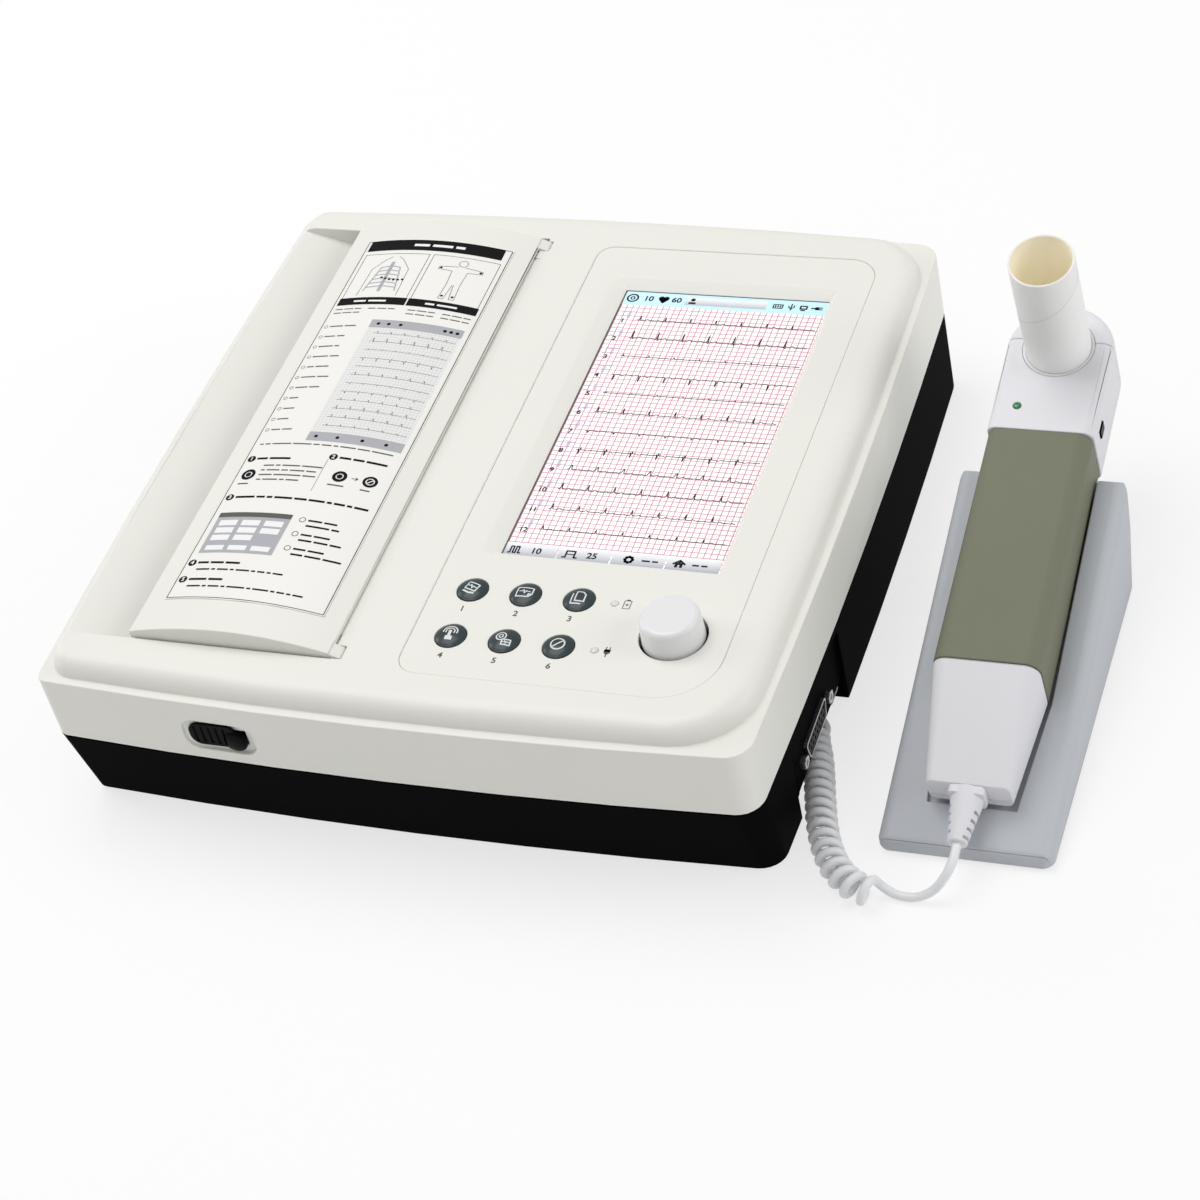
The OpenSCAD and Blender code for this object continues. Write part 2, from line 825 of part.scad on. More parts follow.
module ecg_socket() {
    color(steel)
    in_recorder()
    translate([0, socket_y, socket_z])
        difference() {
            union() {
                along_x(socket_back_x - 1, socket_back_x)
                    difference() {
                        rounded_plate(39.2, 12.5, 1.5);
                        for (s = [-1, 1])
                            translate([s * jack_pitch / 2, 0])
                                circle(d = 3.1);
                    }
                along_x(socket_back_x - 6, recess_x + 1.4)
                    d_shape(shell_w, shell_h);
                along_x(socket_back_x - 6, socket_back_x - 0.9)
                    square([26.6, 10.6], center = true);
            }
            // Two rows of contact holes
            for (i = [0:7])
                rod_x((i - 3.5) * 2.76, 1.42, 1.3, recess_x - 1.5, recess_x + 10);
            for (i = [0:6])
                rod_x((i - 3) * 2.76, -1.42, 1.3, recess_x - 1.5, recess_x + 10);
        }
}

module jack_screws() {
    color(steel)
    in_recorder()
    for (s = [-1, 1])
        difference() {
            union() {
                translate([recess_x, socket_y + s * jack_pitch / 2, socket_z])
                    rotate([0, 90, 0])
                        cylinder(d = 5.5, h = 2.4, $fn = 6);
                rod_x(socket_y + s * jack_pitch / 2, socket_z, 2.8, socket_back_x - 1, recess_x + 0.1);
            }
            rod_x(socket_y + s * jack_pitch / 2, socket_z, 2.4, recess_x + 0.3, recess_x + 8);
        }
}

module handset_socket() {
    color([0.25, 0.25, 0.27])
    in_recorder()
    difference() {
        union() {
            rod_y(plug_x, plug_z, 7, side_back_y, side_back_y + 9);
            rod_y(plug_x - 1, plug_z, 7, side_back_y + 3.2, side_back_y + 12);
        }
        rod_y(plug_x, plug_z, 4.2, side_back_y - 1, side_back_y + 7);
    }
}

module mains_inlet() {
    color(black)
    in_recorder()
    difference() {
        union() {
            span([45, 143.4, 10.5], [77, 145.2, 34.5]);
            span([47.2, 122, 12.2], [74.8, 143.5, 32.8]);
        }
        // Well of the inlet
        span([49.2, 128, 14.2], [72.8, 150, 30.8]);
    }
}

module power_rocker() {
    color(black)
    in_recorder()
    translate([rocker_x, rocker_y, rocker_z])
        rotate([8, 0, 0]) {
            along_x(-9.4, 9.4)
                polygon([[-3, -3], [0.4, -6.6], [2.4, -6.6], [1.7, 0], [2.4, 6.6], [0.4, 6.6], [-3, 3]]);
            rod_x(0, 0, 2, -11.4, 11.4);
        }
}

module switch_housing() {
    color([0.2, 0.2, 0.21])
    in_recorder()
    span([90.2, 122, 14], [109.8, 138.3, 29]);
}

module data_ports() {
    color(steel)
    in_recorder()
    difference() {
        span([-18, 120, 11], [28, 143.4, 25]);
        // One network socket and two serial-bus sockets
        span([-15.6, 126, 12.4], [-3.4, 150, 22]);
        for (x = [2, 15.4])
            span([x, 130, 13], [x + 11, 150, 18.2]);
    }
}

module rubber_feet() {
    color(rubber)
    in_recorder()
    for (x = feet_x, y = feet_y)
        translate([x, y, 0])
            cylinder(d = 13.6, h = foot_h + 0.8);
}

module case_screws() {
    color(steel)
    in_recorder()
    for (p = post_places)
        translate([p.x, p.y, 0])
            difference() {
                union() {
                    translate([0, 0, screw_head_z - 1.8])
                        cylinder(d = 6, h = 1.8);
                    translate([0, 0, foot_h + 3])
                        cylinder(d = 3, h = 12);
                }
                // Cross recess
                span([-2, -0.4, foot_h + 1], [2, 0.4, foot_h + 2.6]);
                span([-0.4, -2, foot_h + 1], [0.4, 2, foot_h + 2.6]);
            }
}

// Cradle: a wedge with soft crests and a pocket that follows the handset's plan, hollow underneath
module cradle() {
    hw = cradle_w / 2;
    run = cradle_back_y - back_r - cradle_front_y - lip_r;
    rise = cradle_top_z - cradle_lip_z + lip_r;
    wedge_slope = atan2(rise, run) - asin(lip_r / norm([run, rise]));
    color(cradle_grey)
    difference() {
        translate([set_x + cradle_x, 0, 0])
            difference() {
                intersection() {
                    along_x(-hw - 1, hw + 1)
                        polygon(concat([[cradle_front_y, 1], [cradle_front_y, cradle_lip_z - lip_r]],
                            arc_points([cradle_front_y + lip_r, cradle_lip_z - lip_r], lip_r, 180, 90 + wedge_slope, 6),
                            [[cradle_back_y - back_r, cradle_top_z]],
                            arc_points([cradle_back_y - back_r, cradle_top_z - back_r], back_r, 90, -10, 6),
                            [[27, 1]]));
                    // Rounded crests along the slope
                    translate([0, cradle_back_y - back_r, cradle_top_z - 0.05])
                        rotate([wedge_slope, 0, 0])
                            along_y(-180, 40)
                                polygon(concat([[-hw, -90], [hw, -90]],
                                    arc_points([hw - crest_r, -crest_r], crest_r, 0, 90, 10),
                                    arc_points([crest_r - hw, -crest_r], crest_r, 90, 180, 10)));
                    // Rounded corners in plan
                    translate([0, (cradle_front_y + cradle_back_y) / 2, 0])
                        linear_extrude(cradle_top_z + 1)
                            rounded_plate(cradle_w + 0.2, cradle_back_y - cradle_front_y + 0.2, plan_r);
                }
                // Hollow underside
                along_x(-28, 28)
                    polygon([[-108, -1], [-108, 1.8], [-86, 5], [20, 26], [20, -1]]);
            }
        in_handset()
            translate([0, 0, trough_z])
                linear_extrude(60)
                    polygon([[trough_hw, 150], [-trough_hw, 150], [-trough_hw, -1], [-trough_front_hw, trough_front_y],
                        [trough_front_hw, trough_front_y], [trough_hw, -1]]);
    }
}

module cradle_feet() {
    color(rubber)
    translate([set_x + cradle_x, 0, 0])
        for (s = [-1, 1])
            span([s * 30.1 - 1.6, -106, 0], [s * 30.1 + 1.6, 16, 1]);
}

// Rounded cross-section of the grip, in X and Z
module grip_section(inset) {
    translate([0, -hand_t / 2])
        rounded_plate(grip_w - 2 * inset, hand_t - 2 * inset, 6 - inset);
}

// Plan of the handset's head, with its round end
module head_plan(inset) {
    translate([-head_hw + inset, grip_l])
        square([2 * (head_hw - inset), head_y - grip_l]);
    translate([0, head_y])
        circle(r = head_hw - inset);
}

// Head of the handset with a soft edge all round
module head_solid() {
    r = 4;
    along_y(grip_l, head_y)
        translate([0, -hand_t / 2])
            rounded_plate(2 * head_hw, hand_t, r);
    translate([0, head_y, 0])
        rotate_extrude()
            polygon(concat([[0, -hand_t]], arc_points([head_hw - r, r - hand_t], r, -90, 0, 6),
                arc_points([head_hw - r, -r], r, 0, 90, 6), [[0, 0]]));
}

// Chin of the handset, tapering down to the cord
module chin_solid() {
    hull() {
        along_y(-0.4, 0)
            grip_section(0.3);
        along_y(-chin_l, -chin_l + 0.4)
            translate([0, -21])
                rounded_plate(31, 13, 3);
    }
}

// Space inside the handset
module hand_inside() {
    translate([0, 0, -hand_t + shell])
        linear_extrude(hand_t - 2 * shell)
            union() {
                head_plan(shell + 1.6);
                translate([-16, -4])
                    square([32, grip_l + 10]);
            }
    along_x(-13, 13)
        polygon([[1, -4], [1, -hand_t + 3], [-chin_l + 3, -25], [-chin_l + 3, -19.4]]);
}

// Space for the flow tube through the head
module tube_space(d) {
    translate([0, tube_y, -hand_t - 1])
        cylinder(d = d, h = hand_t + 20);
}

// Body of the handset: head, core under the soft grip, and chin
module hand_body() {
    head_solid();
    along_y(-0.04, grip_l + 0.5)
        grip_section(1.7);
    chin_solid();
}

hand_screw_y = [114, -20];

module handset_front() {
    color(cool_white)
    in_handset()
    difference() {
        union() {
            difference() {
                intersection() {
                    hand_body();
                    span([-30, -60, seam_z], [30, cap_y - 0.2, 10]);
                }
                hand_inside();
            }
            // Screw posts
            translate([0, hand_screw_y[0], seam_z])
                cylinder(d = 6, h = -seam_z - 1);
            translate([0, hand_screw_y[1], seam_z])
                cylinder(d = 6, h = 13);
        }
        tube_space(tube_d + 0.2);
        for (y = hand_screw_y)
            translate([0, y, seam_z - 1])
                cylinder(d = 2.46, h = 9);
        // Lamp and side button holes
        translate([-10.5, 112.6, -10])
            cylinder(d = 3.1, h = 20);
        span([14, 109, -13.6], [30, 115, -8.4]);
        // Hole for the strain relief
        rod_y(0, relief_z, 7.1, -60, -30);
    }
}

module handset_rear() {
    color(cool_white)
    in_handset()
    difference() {
        union() {
            difference() {
                intersection() {
                    hand_body();
                    span([-30, -60, -40], [30, cap_y - 0.2, seam_z - 0.05]);
                }
                hand_inside();
            }
            for (y = hand_screw_y)
                translate([0, y, -hand_t + 1.5])
                    cylinder(d = 7, h = hand_t + seam_z - 1.55);
        }
        tube_space(tube_d + 0.2);
        for (y = hand_screw_y) {
            translate([0, y, -40])
                cylinder(d = 2.8, h = 20);
            translate([0, y, -40])
                cylinder(d = 5.2, h = 40 - hand_t + 2.4);
        }
        rod_y(0, relief_z, 7.1, -60, -30);
    }
}

module head_cap() {
    color(cool_white)
    in_handset()
    difference() {
        intersection() {
            head_solid();
            span([-30, cap_y, -40], [30, 180, 10]);
        }
        translate([0, 0, -hand_t + shell])
            linear_extrude(hand_t - 2 * shell)
                head_plan(shell);
        tube_space(tube_d + 0.2);
    }
}

module grip_sleeve() {
    color(olive)
    in_handset()
    difference() {
        along_y(0.2, grip_l - 0.2)
            difference() {
                grip_section(0);
                grip_section(1.6);
            }
        // Faint hollow for the thumb
        translate([0, thumb_y, thumb_r - 0.5])
            sphere(r = thumb_r, $fn = 200);
    }
}

module flow_tube() {
    color([0.80, 0.81, 0.83])
    in_handset()
    translate([0, tube_y, 0])
        difference() {
            translate([0, 0, -hand_t])
                cylinder(d = tube_d, h = hand_t);
            translate([0, 0, -mouth_depth - 0.3])
                cylinder(d = tube_bore_d, h = 40);
            translate([0, 0, -hand_t - 1])
                cylinder(d = 22, h = 40);
        }
}

module flow_screen() {
    color(steel)
    in_handset()
    translate([0, tube_y, -25])
        difference() {
            cylinder(d = 21.9, h = 0.8);
            for (ring = [0:2], i = [0:max(ring * 6 - 1, 0)])
                rotate([0, 0, ring == 0 ? 0 : i * 60 / ring])
                    translate([ring * 3.9, 0, -1])
                        cylinder(d = 2.6, h = 3);
        }
}

module mouthpiece() {
    color(paper_white)
    in_handset()
    translate([0, tube_y, -mouth_depth])
        difference() {
            cylinder(d = mouth_d, h = mouth_depth + mouth_l);
            translate([0, 0, -1])
                cylinder(d = mouth_d - 2, h = mouth_depth + mouth_l + 2);
        }
}

module handset_lamp() {
    color([0.10, 0.42, 0.28])
    in_handset()
    translate([-10.5, 112.6, 0])
        rotate_extrude()
            polygon([[0, -3], [1.5, -3], [1.5, 0], [1.1, 0.3], [0, 0.4]]);
}

module handset_button() {
    color(black)
    in_handset()
    union() {
        span([15.4, 109.4, -13.2], [head_hw + 0.5, 114.6, -8.8]);
        span([14.6, 108, -14.6], [15.6, 116, -7.4]);
    }
}

module handset_board() {
    color(board_green)
    in_handset()
    union() {
        span([-13, 8, -14], [13, 98, -12.4]);
        span([-9, 60, -12.5], [5, 78, -9.6]);
        span([-10, 18, -12.5], [8, 26, -10.8]);
    }
}

module handset_screws() {
    color(steel)
    in_handset()
    for (y = hand_screw_y)
        translate([0, y, 0])
            difference() {
                union() {
                    translate([0, 0, -hand_t + 0.7])
                        cylinder(d = 4.8, h = 1.6);
                    translate([0, 0, -hand_t + 1.2])
                        cylinder(d = 2.4, h = 12);
                }
                span([-1.6, -0.3, -hand_t], [1.6, 0.3, -hand_t + 1.5]);
                span([-0.3, -1.6, -hand_t], [0.3, 1.6, -hand_t + 1.5]);
            }
}

module strain_relief() {
    color(cool_white)
    in_handset()
    difference() {
        union() {
            translate([0, 0, relief_z])
                rotate([90, 0, 0])
                    rotate_extrude()
                        polygon([[0, chin_l - 8], [3.5, chin_l - 8], [3.5, chin_l + 0.1], [6, chin_l + 0.1],
                            [6, chin_l + 4], [3.6, -relief_tip_y], [0, -relief_tip_y]]);
            // Collar against the chin
            along_y(-chin_l - 3.2, -chin_l - 0.1)
                translate([0, relief_z])
                    rounded_plate(13.4, 10.8, 2);
        }
        // Flex slots, cut from either side in turn
        for (i = [0:3], s = [-1, 1])
            span([s > 0 ? 1.7 : -8, -chin_l - 8 - i * 3.4 - (s > 0 ? 1.7 : 0), relief_z - 3],
                [s > 0 ? 8 : -1.7, -chin_l - 6.9 - i * 3.4 - (s > 0 ? 1.7 : 0), relief_z + 3]);
    }
}

module cord_plug() {
    color(cool_white)
    in_recorder()
    translate([plug_x, 0, plug_z])
        rotate([90, 0, 0])
            rotate_extrude()
                polygon([[0, -side_back_y - 6], [2, -side_back_y - 6], [2, -side_back_y + 0.3],
                    [4.3, -side_back_y + 0.3], [4.3, -side_back_y + 8], [2.6, -plug_front_y], [0, -plug_front_y]]);
}

// Smooth curve through points: place and direction at a fraction of one span
function spline(p0, p1, p2, p3, u) =
    0.5 * (2 * p1 + (p2 - p0) * u + (2 * p0 - 5 * p1 + 4 * p2 - p3) * u * u
    + (3 * p1 - p0 - 3 * p2 + p3) * u * u * u);
function along(points, t) =
    let (n = len(points) - 1, i = min(floor(t * n), n - 1), u = t * n - i,
        a = points[max(i - 1, 0)], d = points[min(i + 2, n)])
    spline(a, points[i], points[i + 1], d, u);
function unit(v) = v / norm(v);

// Curls wind round their axis, tight at first and opening towards the tail
curl_r = (curl_d - wire_d) / 2;
function curl_place(t) = 0.94 * t + 0.1667 * pow(max(t - 0.4, 0), 2);
function curl_fade(t) = min(1, t * curls, (1 - t) * curls);
function curl_point(t) =
    let (s = curl_place(t), c = along(curl_axis, s), e = along(curl_axis, min(s + 0.002, 1)),
        b = along(curl_axis, max(s - 0.002, 0)),
        d = unit([e.x - b.x, e.y - b.y, 0]), side = [-d.y, d.x, 0], a = 360 * curls * t)
    c + curl_r * curl_fade(t) * (sin(a) * side + cos(a) * [0, 0, 1]);

// The cord's middle line, from the plug to the strain relief
relief_tip = [cradle_x, hand_y + relief_tip_y * cos(rest_slope) - relief_z * sin(rest_slope),
    hand_z + relief_tip_y * sin(rest_slope) + relief_z * cos(rest_slope)];
relief_way = [0, -cos(rest_slope), -sin(rest_slope)];
curl_line = [for (i = [0:curls * rings_per_curl]) curl_point(i / (curls * rings_per_curl))];
tail_knots = concat([curl_line[len(curl_line) - 3], curl_line[len(curl_line) - 1]], tail,
    [relief_tip + relief_way * (wire_d + 2), relief_tip]);
tail_line = [for (i = [1:24]) along(tail_knots, (1 + (len(tail_knots) - 3) * i / 24) / (len(tail_knots) - 1))];
cord_line = concat([[plug_x, plug_front_y, plug_z], [plug_x, plug_front_y - wire_d, plug_z]], curl_line, tail_line,
    [relief_tip + relief_way * wire_d, relief_tip]);

// Least gap between turns that don't follow each other
cord_gap = min([for (i = [0:len(cord_line) - 7]) for (j = [i + 6:len(cord_line) - 1])
    norm(cord_line[i] - cord_line[j])]) - wire_d;
cord_length = [for (i = [1:len(cord_line) - 1]) norm(cord_line[i] - cord_line[i - 1])] * [for (i = [2:len(cord_line)]) 1];
echo(cord_gap = cord_gap, cord_length = cord_length, cord_rings = len(cord_line),
    cord_low = min([for (p = cord_line) p.z]) - wire_d / 2);

// Ring directions carried along the line without twist
function way(i) = unit(cord_line[min(i + 1, len(cord_line) - 1)] - cord_line[max(i - 1, 0)]);
cord_sideways = [for (i = 0, v = [1, 0, 0]; i < len(cord_line); i = i + 1,
    v = i < len(cord_line) ? unit(v - way(i) * (v * way(i))) : v) v];

module handset_cord() {
    n = len(cord_line);
    points = [for (i = [0:n - 1]) let (t = i == 0 ? [0, -1, 0] : i == n - 1 ? -relief_way : way(i),
        u = unit(cord_sideways[i] - t * (cord_sideways[i] * t)), v = cross(t, u))
        for (k = [0:cord_sides - 1]) let (a = 360 * k / cord_sides)
            cord_line[i] + wire_d / 2 * (cos(a) * u + sin(a) * v)];
    faces = concat(
        [for (i = [0:n - 2], k = [0:cord_sides - 1]) let (a = i * cord_sides + k,
            b = i * cord_sides + (k + 1) % cord_sides) each [[a, b + cord_sides, b], [a, a + cord_sides, b + cord_sides]]],
        [for (k = [1:cord_sides - 2]) [0, k, k + 1]],
        [for (k = [1:cord_sides - 2]) let (e = (n - 1) * cord_sides) [e, e + k + 1, e + k]]);
    color(cool_white)
    in_recorder()
    polyhedron(points, faces);
}

upper_case();
lower_case();
control_panel();
touch_glass();
lcd_module();
key_1();
key_2();
key_3();
key_4();
key_5();
key_6();
key_board();
jog_knob();
jog_shaft();
encoder();
indicator_lights();
printer_lid();
lid_hinge_pins();
guide_label();
platen_roller();
platen_gear();
motor_pinion();
feed_motor();
print_head();
paper_tray();
paper_roll();
roll_spindle();
latch_slider();
main_board();
power_supply();
battery_pack();
ecg_socket();
jack_screws();
handset_socket();
mains_inlet();
switch_housing();
power_rocker();
data_ports();
rubber_feet();
case_screws();
cradle();
cradle_feet();
handset_front();
handset_rear();
head_cap();
grip_sleeve();
flow_tube();
flow_screen();
mouthpiece();
handset_lamp();
handset_button();
handset_board();
handset_screws();
strain_relief();
cord_plug();
handset_cord();
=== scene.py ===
"""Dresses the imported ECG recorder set: finishes, screen, guide label, key marks, curly cord and studio."""
import logging
import math
from dataclasses import dataclass, field, replace
from enum import Enum
from typing import Callable, Iterable, Optional, Sequence

import bmesh
import bpy
from mathutils import Matrix, Vector
from mathutils.geometry import interpolate_bezier


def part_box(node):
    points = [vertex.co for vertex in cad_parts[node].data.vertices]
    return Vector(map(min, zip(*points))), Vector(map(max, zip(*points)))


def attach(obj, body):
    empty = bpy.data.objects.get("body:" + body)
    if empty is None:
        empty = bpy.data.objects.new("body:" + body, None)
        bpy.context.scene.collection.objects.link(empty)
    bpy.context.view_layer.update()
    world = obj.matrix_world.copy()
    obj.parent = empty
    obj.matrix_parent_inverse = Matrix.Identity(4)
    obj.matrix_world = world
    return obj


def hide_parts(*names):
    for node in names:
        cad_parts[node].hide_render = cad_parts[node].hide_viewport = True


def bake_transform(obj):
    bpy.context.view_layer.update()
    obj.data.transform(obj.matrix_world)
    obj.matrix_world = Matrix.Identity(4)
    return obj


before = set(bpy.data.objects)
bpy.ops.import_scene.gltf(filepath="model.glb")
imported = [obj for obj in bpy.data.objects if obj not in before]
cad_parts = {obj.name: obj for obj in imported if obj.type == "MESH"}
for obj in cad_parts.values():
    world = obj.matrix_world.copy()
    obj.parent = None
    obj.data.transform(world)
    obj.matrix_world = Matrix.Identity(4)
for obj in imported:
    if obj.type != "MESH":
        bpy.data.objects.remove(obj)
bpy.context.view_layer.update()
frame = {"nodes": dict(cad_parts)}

LOG = logging.getLogger("ecg_recorder")
MM = 0.001
Point2 = tuple[float, float]
Point3 = tuple[float, float, float]
Colour = tuple[int, int, int]
Surface = Callable[[float, float], float]
Shape = bmesh.types.BMesh
Tree = bpy.types.NodeTree
Node = bpy.types.Node
Inputs = dict[str | int, object]


def recorder_offset() -> Vector:
    """Middle of the recorder in the set's frame, in metres."""
    low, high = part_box("upper_case")
    return Vector(((low.x + high.x) / 2, (low.y + high.y) / 2, 0.0))


RECORDER = recorder_offset()
TO_SET = Matrix.Translation(RECORDER) @ Matrix.Scale(MM, 4)


class Body(Enum):
    """Bodies of the set that pieces ride on."""

    RECORDER = "recorder"
    LID = "lid"
    HANDSET = "handset"
    MOUTH = "mouth_tube"
    KEY_1 = "key_1_cap"
    KEY_2 = "key_2_cap"
    KEY_3 = "key_3_cap"
    KEY_4 = "key_4_cap"
    KEY_5 = "key_5_cap"
    KEY_6 = "key_6_cap"


def linear(colour: Sequence[int]) -> tuple[float, float, float, float]:
    """Turns a screen colour of 0 to 255 into Blender's linear colour.

    Args:
        colour: red, green and blue, 0 to 255.

    Returns:
        Linear red, green, blue and an alpha of 1.
    """
    parts = [c / 255 for c in colour]
    red, green, blue = [c / 12.92 if c <= 0.04045 else ((c + 0.055) / 1.055) ** 2.4 for c in parts]
    return red, green, blue, 1.0


def feed(tree: Tree, node: Node, inputs: Inputs) -> None:
    """Sets or links the inputs of a node.

    Args:
        tree: nodes that it belongs to.
        node: the node.
        inputs: a constant, or another node's output, for each input.
    """
    for key, value in inputs.items():
        if isinstance(value, bpy.types.NodeSocket):
            tree.links.new(value, node.inputs[key])
        else:
            node.inputs[key].default_value = value


def add_node(tree: Tree, kind: str, inputs: Inputs, **settings: object) -> Node:
    """Adds a shader node.

    Args:
        tree: nodes to add it to.
        kind: its type, without the prefix.
        inputs: a constant, or another node's output, for each input.
        settings: its own settings.

    Returns:
        The new node.
    """
    node = tree.nodes.new(f"ShaderNode{kind}")
    for name, setting in settings.items():
        setattr(node, name, setting)
    feed(tree, node, inputs)
    return node


def surface_group() -> Tree:
    """Shared effect of a moulded surface: broad patches and a fine grain.

    Returns:
        The node group, made on the first call.
    """
    name = "moulded_surface"
    if name in bpy.data.node_groups:
        return bpy.data.node_groups[name]
    tree = bpy.data.node_groups.new(name, "ShaderNodeTree")
    effects = (("Patches", "Patch Scale", 3.0), ("Grain", "Grain Scale", 2.0))
    for label, scale, _ in effects:
        tree.interface.new_socket(scale, in_out="INPUT", socket_type="NodeSocketFloat")
        tree.interface.new_socket(label, in_out="OUTPUT", socket_type="NodeSocketFloat")
    start = tree.nodes.new("NodeGroupInput")
    end = tree.nodes.new("NodeGroupOutput")
    place = add_node(tree, "TexCoord", {})
    for label, scale, detail in effects:
        noise = add_node(tree, "TexNoise", {"Vector": place.outputs["Object"], "Detail": detail,
                                            "Scale": start.outputs[scale]})
        feed(tree, end, {label: noise.outputs["Fac"]})
    return tree


class Look:
    """A finish whose material is built once and then found by its name."""

    name: str

    def material(self) -> bpy.types.Material:
        """Finds the finish's material, or builds it.

        Returns:
            The Blender material of this finish.
        """
        if self.name not in bpy.data.materials:
            material = bpy.data.materials.new(self.name)
            material.use_nodes = True
            self.wire(material.node_tree, material.node_tree.nodes["Principled BSDF"])
        return bpy.data.materials[self.name]

    def wire(self, tree: Tree, shader: Node) -> None:
        """Wires the finish's own nodes to its shader."""
        raise NotImplementedError

    @staticmethod
    def tint(tree: Tree, shader: Node, share: bpy.types.NodeSocket,
             colours: Sequence[Sequence[float]], glow: Optional[float]) -> None:
        """Colours a shader between two colours.

        Args:
            tree: nodes of the material.
            shader: its shader.
            share: output that says how much of the second colour shows.
            colours: the two linear colours.
            glow: strength of its own light; None adds no light.
        """
        mix = add_node(tree, "Mix", {}, data_type="RGBA")
        feed(tree, mix, {"A": colours[0], "B": colours[1], "Factor": share})
        feed(tree, shader, {"Base Color": mix.outputs["Result"]})
        if glow is not None:
            feed(tree, shader, {"Emission Color": mix.outputs["Result"], "Emission Strength": glow})


@dataclass(frozen=True)
class Finish(Look):
    """A moulded or printed surface: broad patches in the colour, fine grain in the bump and the gloss."""

    name: str
    colour: Colour
    roughness: float = 0.45
    shade: float = 0.05
    patch: float = 30.0
    grain: float = 2500.0
    depth: float = 0.00001
    metallic: float = 0.0
    coat: float = 0.0
    glow: float = 0.0
    specular: float = 0.5
    coat_roughness: float = 0.12
    gloss_swing: float = 0.05

    def wire(self, tree: Tree, shader: Node) -> None:
        """Wires the patches, the gloss and the bump.

        Args:
            tree: nodes of the material.
            shader: its shader.
        """
        feed(tree, shader, {"Metallic": self.metallic, "Coat Weight": self.coat,
                            "Coat Roughness": self.coat_roughness, "Specular IOR Level": self.specular})
        group = add_node(tree, "Group", {}, node_tree=surface_group())
        feed(tree, group, {"Patch Scale": self.patch, "Grain Scale": self.grain})
        light = linear(self.colour)
        dark = tuple(c * (1 - self.shade) for c in light[:3]) + (1.0,)
        self.tint(tree, shader, group.outputs["Patches"], (dark, light), self.glow or None)
        grain = group.outputs["Grain"]
        gloss = add_node(tree, "MapRange", {"Value": grain, "To Min": self.roughness - self.gloss_swing,
                                            "To Max": self.roughness + self.gloss_swing})
        bump = add_node(tree, "Bump", {"Height": grain, "Strength": 1.0, "Distance": self.depth})
        feed(tree, shader, {"Roughness": gloss.outputs["Result"], "Normal": bump.outputs["Normal"]})


IVORY = Finish("ivory_plastic", (237, 236, 229), 0.38, 0.02, 14.0, 3200.0, 0.000006, specular=0.35)
BLACK = Finish("black_grained_plastic", (13, 13, 13), 0.55, 0.3, 40.0, 2600.0, 0.000018, specular=0.004)
GLOSS_BLACK = Finish("black_smooth_plastic", (10, 10, 10), 0.3, 0.2, 60.0, 3000.0, 0.000006, specular=0.03)
LATCH = Finish("latch_black", (10, 10, 10), 0.34, 0.2, 60.0, 3000.0, 0.000006, specular=0.05)
SLATE = Finish("slate_key", (50, 62, 65), 0.34, 0.12, 260.0, 4200.0, 0.000004, coat=0.2, specular=0.3)
KNOB = Finish("knob_white", (237, 236, 231), 0.38, 0.03, 60.0, 3600.0, 0.000004, specular=0.35)
HANDSET = Finish("handset_white", (244, 244, 246), 0.4, 0.03, 30.0, 3000.0, 0.000006, specular=0.4)
CORD = Finish("cord_white", (240, 241, 243), 0.36, 0.05, 60.0, 3000.0, 0.000006)
OLIVE = Finish("olive_grip", (123, 126, 106), 0.6, 0.09, 45.0, 1900.0, 0.00003, specular=0.3)
CRADLE = Finish("cradle_grey", (246, 248, 251), 0.42, 0.04, 25.0, 2800.0, 0.000008, specular=0.4)
CARD = Finish("white_card", (246, 246, 245), 0.7, 0.04, 120.0, 5200.0, 0.000012, specular=0.25)
# Cream inside of the card tube; its glow is painted light that brightens the shaded inside of the tube.
CREAM_PAINTED_GLOW = Finish("cream_card_painted_glow", (250, 243, 222), 0.75, 0.06, 160.0, 5200.0, 0.000012, glow=0.08, specular=0.25)
SEAM = Finish("card_seam", (226, 223, 214), 0.75, 0.06, 160.0, 5200.0, 0.000004, specular=0.2)
STEEL = Finish("bright_steel", (190, 190, 192), 0.28, 0.08, 120.0, 3000.0, 0.000004, metallic=1.0)
ALUMINIUM = Finish("plain_aluminium", (176, 178, 182), 0.42, 0.1, 90.0, 3000.0, 0.00001, metallic=1.0)
BRASS = Finish("brass", (196, 160, 92), 0.3, 0.1, 120.0, 3000.0, 0.000004, metallic=1.0)
RUBBER = Finish("dark_rubber", (24, 24, 24), 0.8, 0.2, 90.0, 2600.0, 0.00002, specular=0.2)
MOULDED = Finish("plain_moulding", (214, 213, 208), 0.5, 0.05, 40.0, 2600.0, 0.00001)
CHARCOAL = Finish("charcoal_moulding", (44, 44, 47), 0.5, 0.12, 60.0, 2600.0, 0.00001, specular=0.3)
BOARD = Finish("green_board", (30, 96, 62), 0.5, 0.25, 300.0, 1500.0, 0.00002)
WRAP = Finish("blue_wrap", (52, 66, 116), 0.4, 0.12, 60.0, 2600.0, 0.000008)
PAPER = Finish("chart_paper", (244, 240, 232), 0.75, 0.06, 300.0, 3800.0, 0.00001)
FILM = Finish("label_film", (237, 236, 229), 0.36, 0.02, 20.0, 4200.0, 0.000002, specular=0.35)
LENS = Finish("clear_lens", (229, 229, 225), 0.25, 0.08, 300.0, 4200.0, 0.000002)
GREEN = Finish("green_lens", (24, 116, 72), 0.25, 0.15, 600.0, 4200.0, 0.000002, coat=0.6, glow=0.15)
INK = Finish("black_ink", (16, 15, 15), 0.6, 0.1, 200.0, 4200.0, 0.000001, specular=0.12)
SOFT_INK = Finish("grey_ink", (96, 96, 95), 0.55, 0.1, 200.0, 4200.0, 0.000001, specular=0.2)
